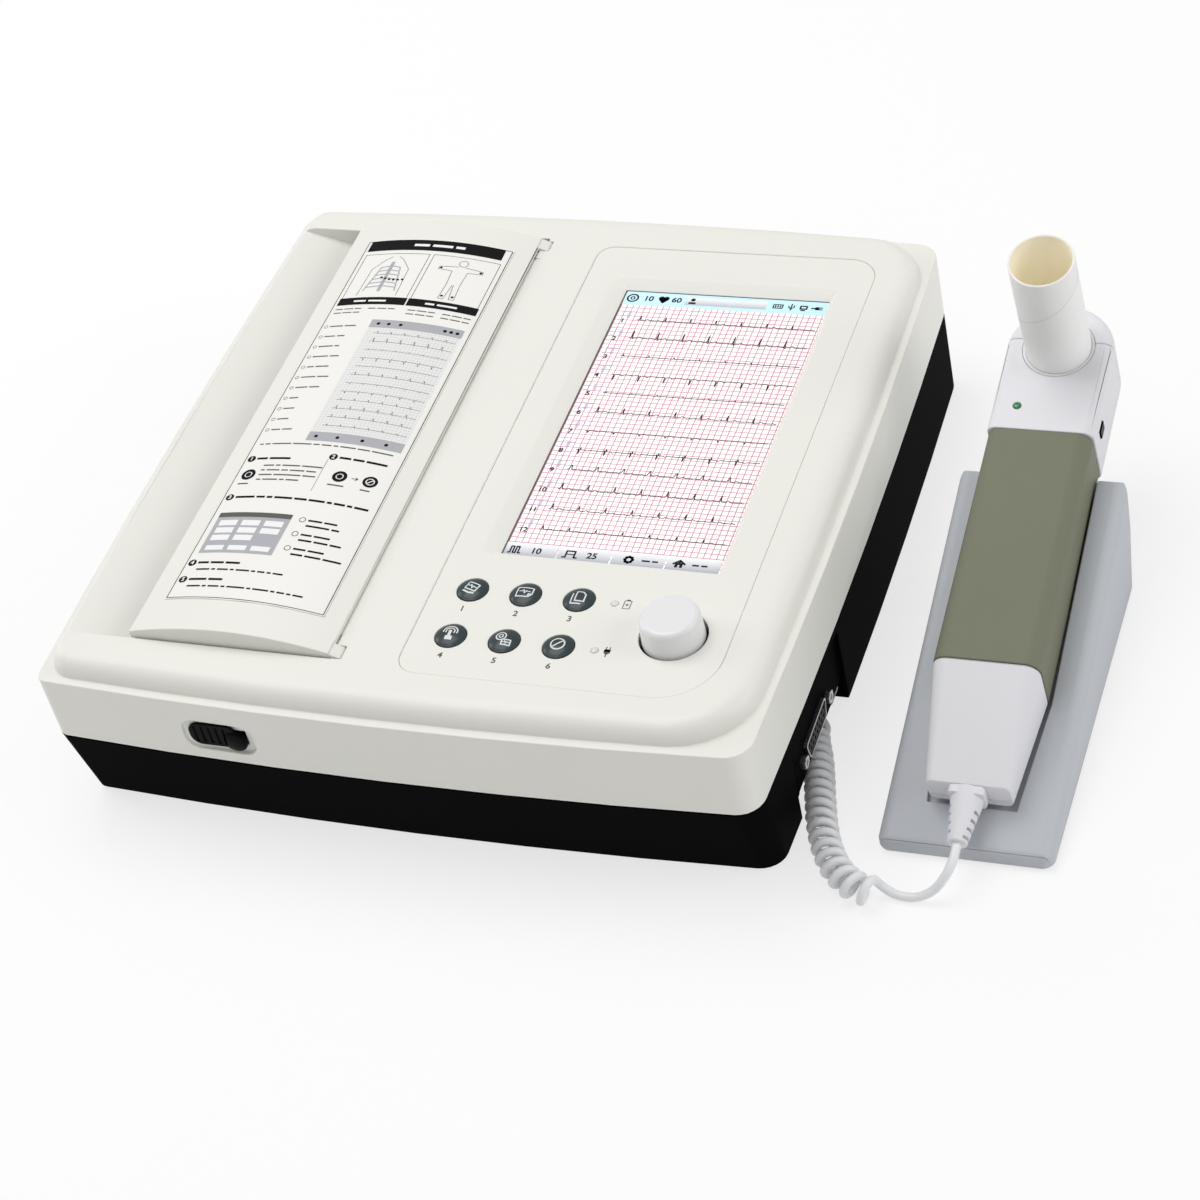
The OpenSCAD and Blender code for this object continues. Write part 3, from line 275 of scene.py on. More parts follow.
PALE_INK = Finish("pale_ink", (180, 181, 186), 0.55, 0.08, 200.0, 4200.0, 0.000001, specular=0.2)
WHITE_INK = Finish("white_ink", (244, 244, 244), 0.5, 0.04, 200.0, 4200.0, 0.000001)
KEY_INK = Finish("key_mark", (226, 230, 230), 0.45, 0.06, 300.0, 4200.0, 0.000001)
LIT_INK = Finish("screen_ink", (24, 24, 28), 0.4, 0.1, 200.0, 4200.0, 0.000001, specular=0.1)
LIT_CYAN = Finish("screen_cyan", (196, 230, 242), 0.3, 0.03, 60.0, 4200.0, 0.000001, glow=0.25, specular=0.2)
LIT_BLUE = Finish("screen_blue", (150, 168, 206), 0.3, 0.05, 90.0, 4200.0, 0.000001, glow=0.2, specular=0.2)


@dataclass(frozen=True)
class LitFinish(Look):
    """A smooth field of the screen or the label that is coloured by its place."""

    name: str
    glow: float
    roughness: float = 0.3
    specular: float = 0.2

    def places(self, tree: Tree, shader: Node) -> Node:
        """Sets the shader's gloss and splits the place on the object.

        Args:
            tree: nodes of the material.
            shader: its shader.

        Returns:
            Node whose outputs are X, Y and Z.
        """
        feed(tree, shader, {"Roughness": self.roughness, "Specular IOR Level": self.specular})
        place = add_node(tree, "TexCoord", {})
        return add_node(tree, "SeparateXYZ", {"Vector": place.outputs["Object"]})


@dataclass(frozen=True)
class GridFinish(LitFinish):
    """Pale paper with a fine square grid drawn by its nodes."""

    pitch: float = 1.0 * MM
    line: float = 0.1 * MM
    paper: Colour = (255, 255, 255)
    ink: Colour = (0, 0, 0)

    def wire(self, tree: Tree, shader: Node) -> None:
        """Wires the lines of the grid.

        Args:
            tree: nodes of the material.
            shader: its shader.
        """
        split = self.places(tree, shader)
        lines = {}
        for i, axis in enumerate("XY"):
            wrap = add_node(tree, "Math", {0: split.outputs[axis], 1: self.pitch / 2}, operation="PINGPONG")
            line = add_node(tree, "Math", {0: wrap.outputs["Value"], 1: self.line / 2}, operation="LESS_THAN")
            lines[i] = line.outputs["Value"]
        both = add_node(tree, "Math", lines, operation="MAXIMUM")
        self.tint(tree, shader, both.outputs["Value"], (linear(self.paper), linear(self.ink)), self.glow)


@dataclass(frozen=True)
class BlendFinish(LitFinish):
    """A lit field that blends from a rear colour to a front colour between two places along the recorder."""

    rear: Colour = (255, 255, 255)
    front: Colour = (0, 0, 0)
    rear_y: float = 0.0
    front_y: float = 1.0

    def wire(self, tree: Tree, shader: Node) -> None:
        """Wires the blend.

        Args:
            tree: nodes of the material.
            shader: its shader.
        """
        share = add_node(tree, "MapRange", {"Value": self.places(tree, shader).outputs["Y"],
                                            "From Min": self.rear_y * MM + RECORDER.y,
                                            "From Max": self.front_y * MM + RECORDER.y})
        self.tint(tree, shader, share.outputs["Result"], (linear(self.rear), linear(self.front)), self.glow)


SCREEN_GRID = GridFinish("screen_grid", 0.22, pitch=2.56 * MM, line=0.4 * MM, paper=(250, 249, 250),
                         ink=(200, 136, 150))
LABEL_GRID = GridFinish("label_grid", 0.0, pitch=1.5 * MM, line=0.16 * MM, paper=(234, 234, 232),
                        ink=(206, 206, 206))


def link(name: str, data: bpy.types.ID) -> bpy.types.Object:
    """Puts a new object into the scene.

    Args:
        name: the object's name.
        data: its mesh, curve, lamp or camera.

    Returns:
        The new object.
    """
    thing = bpy.data.objects.new(name, data)
    bpy.context.scene.collection.objects.link(thing)
    return thing


def curve_mesh(curve: bpy.types.Curve) -> bpy.types.Mesh:
    """Turns a curve or a text into a mesh and removes it.

    Args:
        curve: the curve.

    Returns:
        Its mesh.
    """
    holder = link("curve_holder", curve)
    bpy.context.view_layer.update()
    mesh = bpy.data.meshes.new_from_object(holder.evaluated_get(bpy.context.evaluated_depsgraph_get()))
    bpy.data.objects.remove(holder)
    bpy.data.curves.remove(curve)
    return mesh


def move(shape: Shape, matrix: Matrix) -> None:
    """Moves a whole bmesh by a matrix."""
    bmesh.ops.transform(shape, matrix=matrix, verts=shape.verts[:])


def mesh_of(shape: Shape, name: str, smooth_angle: Optional[float] = 40.0) -> bpy.types.Mesh:
    """Turns a bmesh into a mesh and sets its shading.

    Args:
        shape: the bmesh, which is freed.
        name: name of the mesh.
        smooth_angle: edges sharper than this stay sharp, in degrees; None is flat shading.

    Returns:
        The mesh.
    """
    mesh = bpy.data.meshes.new(name)
    shape.to_mesh(mesh)
    shape.free()
    if smooth_angle is not None:
        mesh.polygons.foreach_set("use_smooth", [True] * len(mesh.polygons))
        mesh.set_sharp_from_angle(angle=math.radians(smooth_angle))
    return mesh


def piece(name: str, shape: Shape, looks: Sequence[Look], body: Body, slot: str,
          stands_for: Sequence[str] = (), smooth: Optional[float] = 40.0) -> None:
    """Makes a piece of a bmesh, dresses it and lets it ride on a body.

    Args:
        name: the piece's name.
        shape: its bmesh, placed in the set's frame.
        looks: finishes in the order of the bmesh's material numbers.
        body: body that it moves with.
        slot: material slot of the record; not used.
        stands_for: CAD nodes that it replaces.
        smooth: edges sharper than this stay sharp, in degrees; None is flat shading.
    """
    mesh = mesh_of(shape, name, smooth)
    thing = link(name, mesh)
    for look in looks:
        mesh.materials.append(look.material())
    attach(thing, body.value)
    if stands_for:
        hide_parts(*stands_for)
    LOG.info("made %s", name)


def lathe(profile: Sequence[Point2], steps: int = 64, closed: bool = False) -> Shape:
    """Spins a profile about the Z axis.

    Args:
        profile: radius and height of each point.
        steps: number of steps in a full turn.
        closed: joins the last point to the first.

    Returns:
        The spun bmesh, with its faces outwards.
    """
    shape = bmesh.new()
    points = [shape.verts.new((r, 0.0, z)) for r, z in profile]
    edges = [shape.edges.new(pair) for pair in zip(points, points[1:])]
    if closed:
        edges.append(shape.edges.new((points[-1], points[0])))
    bmesh.ops.spin(shape, geom=points + edges, cent=(0, 0, 0), axis=(0, 0, 1), angle=2 * math.pi,
                   steps=steps, use_merge=True, use_duplicate=False)
    bmesh.ops.remove_doubles(shape, verts=shape.verts[:], dist=1e-5)
    bmesh.ops.recalc_face_normals(shape, faces=shape.faces[:])
    return shape


def soft_blocks(boxes: Iterable[tuple[Sequence[float], Sequence[float]]], soft: float) -> Shape:
    """Makes blocks with softened edges.

    Args:
        boxes: lowest and highest corner of each block.
        soft: width of the softened edges, in the corners' unit.

    Returns:
        One bmesh with all the blocks.
    """
    shape = bmesh.new()
    for low, high in boxes:
        centre = Vector(low).lerp(Vector(high), 0.5)
        size = Matrix.Diagonal((*(Vector(high) - Vector(low)), 1.0))
        bmesh.ops.create_cube(shape, size=1.0, matrix=Matrix.Translation(centre) @ size)
    bmesh.ops.bevel(shape, geom=shape.edges[:], offset=soft, segments=2, profile=0.5, affect="EDGES",
                    material=-1)
    return shape


@dataclass
class CadDress:
    """Softens the edges of the CAD nodes that stay, and gives them their finish."""

    weld: float = 0.000004
    flat_angle: float = 0.4
    edge_angle: float = 32.0
    rounds: int = 2

    def dress(self, node: str, finish: Finish, edge: float) -> None:
        """Dresses one CAD node.

        Args:
            node: name of the node.
            finish: its finish.
            edge: width of its softened edges in millimetres; 0 leaves them sharp.
        """
        thing = frame["nodes"][node]
        mesh = thing.data
        mesh.materials.clear()
        mesh.materials.append(finish.material())
        if "custom_normal" in mesh.attributes:
            mesh.attributes.remove(mesh.attributes["custom_normal"])
        mesh.polygons.foreach_set("use_smooth", [True] * len(mesh.polygons))
        join = thing.modifiers.new("join", "WELD")
        join.merge_threshold = self.weld
        flat = thing.modifiers.new("flat", "DECIMATE")
        flat.decimate_type = "DISSOLVE"
        flat.angle_limit = math.radians(self.flat_angle)
        if edge:
            soft = thing.modifiers.new("soft_edges", "BEVEL")
            soft.width = edge * MM
            soft.segments = self.rounds
            soft.limit_method = "ANGLE"
            soft.angle_limit = math.radians(self.edge_angle)
            soft.use_clamp_overlap = False
            soft.harden_normals = False
        even = thing.modifiers.new("even_normals", "WEIGHTED_NORMAL")
        even.keep_sharp = True
        LOG.info("dressed %s", node)


@dataclass
class Ink:
    """Flat print gathered in one mesh, in recorder millimetres that are counted from an origin."""

    longest: float = 1000.0
    origin: Point2 = (0.0, 0.0)
    shape: Shape = field(default_factory=bmesh.new)
    digit_share: float = 0.7
    digit_weight: float = 0.035
    arc_step: float = 15.0
    joint_sides: int = 8

    def at(self, x: float, y: float) -> "Ink":
        """The same sheet, drawn on from another origin."""
        return replace(self, origin=(x, y))

    def spot(self, x: float, y: float) -> Matrix:
        """Matrix that moves to a place."""
        return Matrix.Translation((self.origin[0] + x, self.origin[1] + y, 0))

    def parts(self, length: float) -> int:
        """Number of faces that a length is split into."""
        return max(math.ceil(abs(length) / self.longest), 1)

    def bar(self, x0: float, y0: float, x1: float, y1: float) -> None:
        """Adds an upright rectangle between two corners."""
        place = self.spot((x0 + x1) / 2, (y0 + y1) / 2) @ Matrix.Diagonal((x1 - x0, y1 - y0, 1, 1))
        bmesh.ops.create_grid(self.shape, x_segments=self.parts(x1 - x0), y_segments=self.parts(y1 - y0),
                              size=0.5, matrix=place)

    def disc(self, x: float, y: float, radius: float, segments: int = 20) -> None:
        """Adds a filled circle."""
        bmesh.ops.create_circle(self.shape, cap_ends=True, cap_tris=True, radius=radius, segments=segments,
                                matrix=self.spot(x, y))

    def stroke(self, points: Sequence[Point2], width: float, closed: bool = False,
               joints: bool = True) -> None:
        """Adds a line of a given width.

        Args:
            points: corners of the line.
            width: width of the line.
            closed: joins the last corner to the first.
            joints: adds a small disc on each corner.
        """
        ends = list(points) + ([points[0]] if closed else [])
        for (x0, y0), (x1, y1) in zip(ends, ends[1:]):
            length = math.hypot(x1 - x0, y1 - y0)
            place = (self.spot((x0 + x1) / 2, (y0 + y1) / 2)
                     @ Matrix.Rotation(math.atan2(y1 - y0, x1 - x0), 4, "Z")
                     @ Matrix.Diagonal((length, width, 1, 1)))
            bmesh.ops.create_grid(self.shape, x_segments=self.parts(length), y_segments=1, size=0.5,
                                  matrix=place)
        if joints:
            for x, y in points:
                self.disc(x, y, width / 2, self.joint_sides)

    def outline(self, x0: float, y0: float, x1: float, y1: float, width: float) -> None:
        """Adds the line around an upright rectangle."""
        self.stroke(((x0, y0), (x1, y0), (x1, y1), (x0, y1)), width, True)

    def ring(self, x: float, y: float, radius: float, width: float, start: float = 0.0,
             turn: float = 360.0) -> None:
        """Adds a circle line or an arc.

        Args:
            x: middle across.
            y: middle along.
            radius: radius of the line's middle.
            width: width of the line.
            start: angle where the arc starts, in degrees.
            turn: angle of the arc, in degrees.
        """
        steps = max(int(turn / self.arc_step), 4)
        angles = [math.radians(start + turn * i / steps) for i in range(steps + (turn < 360))]
        points = [(x + radius * math.cos(a), y + radius * math.sin(a)) for a in angles]
        self.stroke(points, width, turn >= 360)

    def number(self, text: str, x: float, y: float, height: float) -> None:
        """Adds a plain number.

        Args:
            text: digits to draw.
            x: middle across.
            y: middle along.
            height: height of the digits.
        """
        letters = bpy.data.curves.new("digits", "FONT")
        letters.body = text
        letters.size = height / self.digit_share
        letters.align_x = "CENTER"
        letters.align_y = "CENTER"
        letters.offset = self.digit_weight * height
        mesh = curve_mesh(letters)
        known = set(self.shape.verts)
        self.shape.from_mesh(mesh)
        added = [v for v in self.shape.verts if v not in known]
        bmesh.ops.transform(self.shape, matrix=self.spot(x, y), verts=added)
        bpy.data.meshes.remove(mesh)

    def words(self, x: float, y: float, lengths: Iterable[float], height: float, gap: float = 0.9) -> None:
        """Adds a row of short bars that stands for a line of words.

        Args:
            x: left end of the row.
            y: middle of the row.
            lengths: length of each bar.
            height: height of the bars.
            gap: gap between two bars.
        """
        for length in lengths:
            self.bar(x, y - height / 2, x + length, y + height / 2)
            x += length + gap

    def lay(self, name: str, surface: Surface, lift: float, look: Look, body: Body, slot: str,
            cut_every: float = 0.0) -> None:
        """Lays the print on a surface and makes a piece of it.

        Args:
            name: the piece's name.
            surface: height of the surface at a place.
            lift: height of the print over the surface.
            look: its finish.
            body: body that it moves with.
            slot: material slot of the record.
            cut_every: spacing of cuts across, so that the print follows a curved surface.
        """
        if cut_every:
            across = [v.co.x for v in self.shape.verts]
            low, high = min(across), max(across)
            for i in range(1, int((high - low) / cut_every) + 1):
                every = self.shape.verts[:] + self.shape.edges[:] + self.shape.faces[:]
                bmesh.ops.bisect_plane(self.shape, geom=every, plane_co=(low + i * cut_every, 0, 0),
                                       plane_no=(1, 0, 0))
        for vert in self.shape.verts:
            vert.co.z = surface(vert.co.x, vert.co.y) + lift
        for face in self.shape.faces:
            face.normal_update()
            if face.normal.z < 0:
                face.normal_flip()
        move(self.shape, TO_SET)
        piece(name, self.shape, [look], body, slot, smooth=None)


def flat_at(height: float) -> Surface:
    """A level surface at a height in millimetres."""
    return lambda x, y: height


@dataclass
class Area:
    """A printed area, with places in shares of its width and length from its left and its rear end."""

    low: Point2
    high: Point2

    def place(self, u: float, v: float) -> Point2:
        """Place on the recorder of two shares of the area."""
        (x0, y0), (x1, y1) = self.low, self.high
        return x0 + u * (x1 - x0), y1 - v * (y1 - y0)

    def pen(self, ink: Ink, u: float, v: float) -> Ink:
        """A sheet with its origin at a place of the area."""
        return ink.at(*self.place(u, v))

    def box(self, ink: Ink, u0: float, v0: float, u1: float, v1: float) -> None:
        """Fills a rectangle of the area."""
        ink.bar(*self.place(u0, v1), *self.place(u1, v0))

    def outline(self, ink: Ink, u0: float, v0: float, u1: float, v1: float, width: float) -> None:
        """Draws the line around a rectangle of the area."""
        ink.outline(*self.place(u0, v0), *self.place(u1, v1), width)


@dataclass
class Screen(Area):
    """The lit screen: grid, bars, traces and marks on the touch glass."""

    low: Point2 = (20.5, -59.3)
    high: Point2 = (105.9, 97.3)
    top_bar: float = 8.4
    bottom_bar: float = 7.8
    soft_keys: int = 4
    soft_key_gaps: Point2 = (0.002, 0.004)
    rows: int = 12
    first_row: float = 0.112
    row_step: float = 0.0715
    trace_ends: Point2 = (0.115, 0.985)
    trace_width: float = 0.36
    pulse_left: float = 0.02
    pulse_width: float = 0.22
    row_number: Point2 = (0.045, 0.007)
    row_digits: float = 2.4
    beats: int = 7
    heights: tuple[float, ...] = (2.4, 4.4, 1.0, -3.6, 0.6, 2.9, -1.3, -2.4, 2.2, 3.4, 3.0, 2.0)
    dips: tuple[float, ...] = (0.3, 0.8, 0.2, 0.2, 0.1, 0.5, 0.2, -1.4, -2.4, -0.9, -0.5, -0.3)
    beat: tuple[Point3, ...] = ((0.0, 0, 0), (0.06, 0, 0), (0.09, 0, -0.4), (0.12, 1, 0), (0.15, 0, -1),
                                (0.18, 0, 0), (0.34, 0, 0), (0.4, 0.192, 0), (0.45, 0.156, 0), (0.5, 0, 0),
                                (0.8, 0, 0), (0.86, 0.12, 0), (0.92, 0, 0))
    pulse: tuple[Point2, ...] = ((0, 1.0), (1.2, 1.0), (1.2, 4.6), (3.4, 4.6), (3.4, 1.0), (4.4, 1.0),
                                 (4.4, 4.6), (6.4, 4.6), (6.4, 1.0))
    digits: float = 2.9
    top_field: tuple[float, ...] = (0.31, 0.012, 0.71, 0.042)
    glass_edge: float = 0.3 * MM

    def row(self, number: int) -> float:
        """Share of the screen's length at which a trace lies."""
        return self.first_row + number * self.row_step

    def trace(self, number: int) -> list[Point2]:
        """One line of heart beats.

        Args:
            number: number of the line from the top.

        Returns:
            Points of the line, in recorder millimetres.
        """
        left, base = self.place(self.trace_ends[0], self.row(number))
        right = self.place(self.trace_ends[1], 0)[0]
        step = (right - left) / self.beats
        tall, dip = self.heights[number], self.dips[number]
        points = [(left + (beat + share) * step, base + tall * up + dip * down)
                  for beat in range(self.beats) for share, up, down in self.beat]
        return points + [(right, base)]

    def build(self) -> None:
        """Makes the screen's pieces, from the glass up."""
        low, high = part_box("touch_glass")
        level = flat_at(high.z / MM)
        rest = (Body.RECORDER, "screen_glass")
        piece("screen_plate", soft_blocks([(low, high)], self.glass_edge), [SCREEN_GRID], *rest,
              stands_for=("touch_glass",))
        length = self.high[1] - self.low[1]
        top, bottom = self.top_bar / length, 1 - self.bottom_bar / length
        bar = Ink()
        self.box(bar, 0, 0, 1, top)
        bar.lay("screen_top_bar", level, 0.03, LIT_CYAN, *rest)
        keys = Ink()
        left, right = self.soft_key_gaps
        for i in range(self.soft_keys):
            self.box(keys, i / self.soft_keys + left, bottom, (i + 1) / self.soft_keys - right, 1)
        blend = self.blend("soft_key_blend", (238, 239, 242), (158, 160, 170), bottom, 1)
        keys.lay("screen_soft_keys", level, 0.03, blend, *rest)
        fill = Ink()
        self.box(fill, *self.top_field)
        blend = self.blend("field_blend", (238, 240, 243), (180, 184, 194), *self.top_field[1::2])
        fill.lay("screen_field", level, 0.05, blend, *rest)
        # Grey strips along the left and top edges of the glass: painted shade of the bezel falling on the
        # screen.
        edge = Ink()
        self.box(edge, -0.004, 0, 0.004, 1)
        self.box(edge, -0.004, -0.0025, 1.004, 0.0015)
        edge.lay("screen_edge_painted_shade", level, 0.09, SOFT_INK, *rest)
        lines, pulses = Ink(), Ink()
        for number in range(self.rows):
            lines.stroke(self.trace(number), self.trace_width, joints=False)
            pen = self.pen(pulses, self.pulse_left, self.row(number))
            pen.stroke(self.pulse, self.pulse_width, joints=False)
        lines.lay("screen_traces", level, 0.06, LIT_INK, *rest)
        pulses.lay("screen_pulses", level, 0.05, LIT_BLUE, *rest)
        marks = Ink()
        self.top_marks(marks, top / 2)
        self.soft_key_marks(marks, (1 + bottom) / 2)
        marks.lay("screen_marks", level, 0.08, LIT_INK, *rest)

    def blend(self, name: str, rear: Colour, front: Colour, start: float, end: float) -> BlendFinish:
        """Finish of a lit field that changes its colour between two shares of the length."""
        ends = self.place(0, start)[1], self.place(0, end)[1]
        return BlendFinish(name, 0.2, rear=rear, front=front, rear_y=ends[0], front_y=ends[1])

    def top_marks(self, marks: Ink, middle: float) -> None:
        """Draws the numbers of the rows and the marks of the top bar.

        Args:
            marks: sheet to draw on.
            middle: middle of the bar, as a share of the length.
        """
        for number in range(self.rows):
            place = self.place(self.row_number[0], self.row(number) + self.row_number[1])
            marks.number(str(number + 1), *place, self.row_digits)
        pen = self.pen(marks, 0.045, middle)
        pen.ring(0, 0, 2.2, 0.7)
        pen.ring(0, 0, 0.8, 0.5)
        marks.number("10", *self.place(0.125, middle), self.digits)
        heart = self.pen(marks, 0.2, middle)
        heart.disc(-1.0, 0.7, 1.25)
        heart.disc(1.0, 0.7, 1.25)
        heart.stroke(((-1.6, 0.2), (0, -1.7), (1.6, 0.2)), 1.1)
        heart.disc(0, -0.2, 1.1)
        marks.number("60", *self.place(0.265, middle), self.digits)
        person = self.pen(marks, 0.345, middle)
        person.disc(0, 0.9, 0.95)
        person.bar(-1.5, -1.7, 1.5, -0.6)
        battery = self.pen(marks, 0.765, middle)
        battery.outline(-1.9, -1.1, 1.9, 1.1, 0.47)
        for i in range(3):
            battery.bar(-1.3 + i, -0.6, -0.7 + i, 0.6)
        fork = self.pen(marks, 0.83, middle)
        fork.stroke(((0, -1.8), (0, 1.8)), 0.54)
        fork.stroke(((-1.1, 0.6), (-1.1, -0.2), (0, -0.9), (1.1, -0.2), (1.1, 1.0)), 0.47)
        monitor = self.pen(marks, 0.89, middle)
        monitor.outline(-1.3, -0.7, 1.3, 1.0, 0.68)
        monitor.stroke(((-0.7, -1.6), (0.7, -1.6)), 0.68)
        lead = self.pen(marks, 0.955, middle)
        lead.stroke(((-2.2, 0), (-0.6, 0)), 0.68)
        lead.disc(0, 0, 1.0)
        for side in (-0.55, 0.55):
            lead.stroke(((0.6, side), (2.1, side)), 0.54)

    def soft_key_marks(self, marks: Ink, middle: float) -> None:
        """Draws the marks of the four soft keys.

        Args:
            marks: sheet to draw on.
            middle: middle of the soft keys, as a share of the length.
        """
        wave = ((-2.4, -1.6), (-1.6, -1.6), (-1.6, 1.7), (-0.5, 1.7), (-0.5, -1.6), (0.5, -1.6), (0.5, 1.7),
                (1.6, 1.7), (1.6, -1.6), (2.4, -1.6))
        self.pen(marks, 0.05, middle).stroke(wave, 0.61)
        marks.number("10", *self.place(0.15, middle), self.digits)
        gate = self.pen(marks, 0.31, middle)
        gate.stroke(((-2.8, -1.6), (-1.7, -1.6), (-1.7, 1.7), (1.7, 1.7), (1.7, -1.6), (2.8, -1.6)), 0.68)
        gate.stroke(((-1.7, 0), (1.7, 0)), 0.47)
        marks.number("25", *self.place(0.41, middle), self.digits)
        cog = self.pen(marks, 0.58, middle)
        cog.ring(0, 0, 1.35, 1.0)
        for i in range(8):
            angle = math.radians(45 * i)
            cog.stroke([(r * math.cos(angle), r * math.sin(angle)) for r in (1.6, 2.1)], 1, joints=False)
        marks.words(*self.place(0.64, middle), (3.2, 2.2), 0.8)
        house = self.pen(marks, 0.81, middle)
        house.stroke(((-2.2, 0.1), (0, 1.9), (2.2, 0.1)), 0.81)
        for corners in ((-1.5, -1.8, -0.4, 0.6), (0.4, -1.8, 1.5, 0.6), (-0.5, -0.4, 0.5, 1.2)):
            house.bar(*corners)
        marks.words(*self.place(0.87, middle), (2.6, 2.4), 0.8)


@dataclass
class Keys:
    """Six round keys with a soft dome, a rim and a light mark each, and the print beside them."""

    x: float = 17.8
    y: float = -81.2
    pitch_x: float = 21.0
    pitch_y: float = 24.0
    count: int = 6
    columns: int = 3
    radius: float = 5.85
    foot_radius: float = 7.05
    foot: float = 72.4
    foot_top: float = 74.2
    rim: float = 78.5
    rim_lip: float = 0.25
    rim_width: float = 0.7
    rim_round: tuple[Point2, ...] = ((0.0, -0.35), (0.12, -0.05), (0.45, 0.1))
    crown: float = 79.8
    bend: float = 2.4
    dome_steps: tuple[float, ...] = (0.87, 0.8, 0.7, 0.55, 0.4, 0.2, 0.0)
    around: int = 56
    line: float = 0.6
    mark: float = 0.86
    pulse: tuple[Point2, ...] = ((-2.0, 0.0), (-1.0, 0.0), (-0.6, 0.9), (0.0, -1.1), (0.5, 0.4), (0.9, 0.0),
                                 (2.0, 0.0))

    def centre(self, k: int) -> Point2:
        """Middle of a key, counted from 0 along the rear row."""
        return self.x + (k % self.columns) * self.pitch_x, self.y - (k // self.columns) * self.pitch_y

    def dome(self, k: int) -> Surface:
        """Surface of a key's top.

        Args:
            k: number of the key.

        Returns:
            Height of the top at a place.
        """
        cx, cy = self.centre(k)
        base = self.rim + self.rim_lip
        span = self.radius - self.rim_width

        def height(x: float, y: float) -> float:
            """Height over one place."""
            share = min(math.hypot(x - cx, y - cy) / span, 1.0)
            return base + (self.crown - base) * (1 - share ** self.bend)

        return height

    def build(self) -> None:
        """Makes the keys, their marks, and the numbers and small signs on the panel."""
        for k in range(self.count):
            cx, cy = self.centre(k)
            height = self.dome(k)
            body = Body(f"key_{k + 1}_cap")
            profile = [(0.0, self.foot), (self.foot_radius, self.foot), (self.foot_radius, self.foot_top),
                       (self.radius, self.foot_top)]
            profile += [(self.radius - inwards, self.rim + up) for inwards, up in self.rim_round]
            profile += [(self.radius * s, height(cx + self.radius * s, cy)) for s in self.dome_steps]
            shape = lathe(profile, self.around)
            move(shape, TO_SET @ Matrix.Translation((cx, cy, 0)))
            piece(f"key_{k + 1}_dome", shape, [SLATE], body, "key_slate", (f"key_{k + 1}",), 30)
            mark = Ink(0.7)
            self.draw(mark.at(cx, cy), k)
            bmesh.ops.scale(mark.shape, vec=(self.mark, self.mark, 1.0), verts=mark.shape.verts[:],
                            space=Matrix.Translation((-cx, -cy, 0)))
            mark.lay(f"key_{k + 1}_mark", height, 0.07, KEY_INK, body, "key_slate")
        self.panel_print()

    def draw(self, pen: Ink, k: int) -> None:
        """Draws the mark of one key.

        Args:
            pen: sheet with its origin in the middle of the key.
            k: number of the key.
        """
        w = self.line
        if k == 0:
            pen.stroke(((-1.6, 3.0), (3.4, 1.4), (2.0, -2.4), (-3.0, -0.8)), w, True)
            pen.stroke(((-3.4, -2.0), (-0.6, -3.3), (1.6, -3.3)), w * 1.3)
            pen.stroke([(0.2 + a * 0.95, 0.3 + b - a * 0.3) for a, b in self.pulse], w * 0.8)
        elif k == 1:
            pen.stroke(((-3.5, 2.5), (3.5, 2.5), (3.5, -1.0), (1.9, -2.6), (-3.5, -2.6)), w, True)
            pen.stroke(((1.9, -2.6), (1.9, -1.0), (3.5, -1.0)), w)
            pen.stroke([(a * 1.2, b + 0.3) for a, b in self.pulse], w * 0.8)
        elif k == 2:
            pen.stroke(((-1.2, 3.2), (1.4, 3.2), (2.9, 1.7), (2.9, -2.2), (-1.2, -2.2)), w, True)
            pen.stroke(((-2.8, 1.8), (-2.8, -3.6), (1.6, -3.6)), w)
        elif k == 3:
            pen.disc(0, 0.9, 0.8)
            pen.ring(0, 0.9, 1.9, w, -20, 220)
            pen.ring(0, 0.9, 3.1, w, -10, 200)
            pen.stroke(((0, 0.6), (0, -2.0)), 1.3)
            pen.bar(-1.5, -3.7, 1.7, -1.7)
        elif k == 4:
            pen.ring(-1.3, 1.1, 2.2, w)
            pen.ring(-1.3, 1.1, 0.9, w)
            pen.outline(-0.2, -0.7, 3.6, -3.4, w)
            pen.stroke([(1.7 + a * 0.8, -2.0 + b * 0.7) for a, b in self.pulse], w * 0.7)
        else:
            pen.ring(0, 0, 3.0, w * 1.1)
            pen.stroke(((-2.1, -2.1), (2.1, 2.1)), w * 1.1)

    def panel_print(self) -> None:
        """Makes the plain numbers under the keys and the signs beside the two lamps."""
        ink = Ink()
        for k in range(self.count):
            cx, cy = self.centre(k)
            ink.number(str(k + 1), cx - 0.6, cy - 10.0, 2.6)
        x = self.x + self.columns * self.pitch_x - 2.4
        battery = ink.at(x, self.y)
        battery.outline(-1.3, -2.2, 1.3, 1.8, 0.3)
        battery.stroke(((-0.5, 2.2), (0.5, 2.2)), 0.5)
        battery.stroke(((-0.6, -0.2), (0.6, -0.2)), 0.3)
        battery.stroke(((0, -0.8), (0, 0.4)), 0.3)
        plug = ink.at(x, self.y - self.pitch_y)
        plug.disc(0, -0.2, 1.25)
        plug.bar(-1.25, -0.2, 1.25, 0.9)
        for side in (-0.7, 0.7):
            plug.stroke(((side, 0.8), (side, 2.1)), 0.4)
        plug.stroke(((0, -1.2), (0, -2.6)), 0.45)
        level = flat_at(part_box("control_panel")[1].z / MM)
        ink.lay("panel_print", level, 0.03, SOFT_INK, Body.RECORDER, "case_ivory")


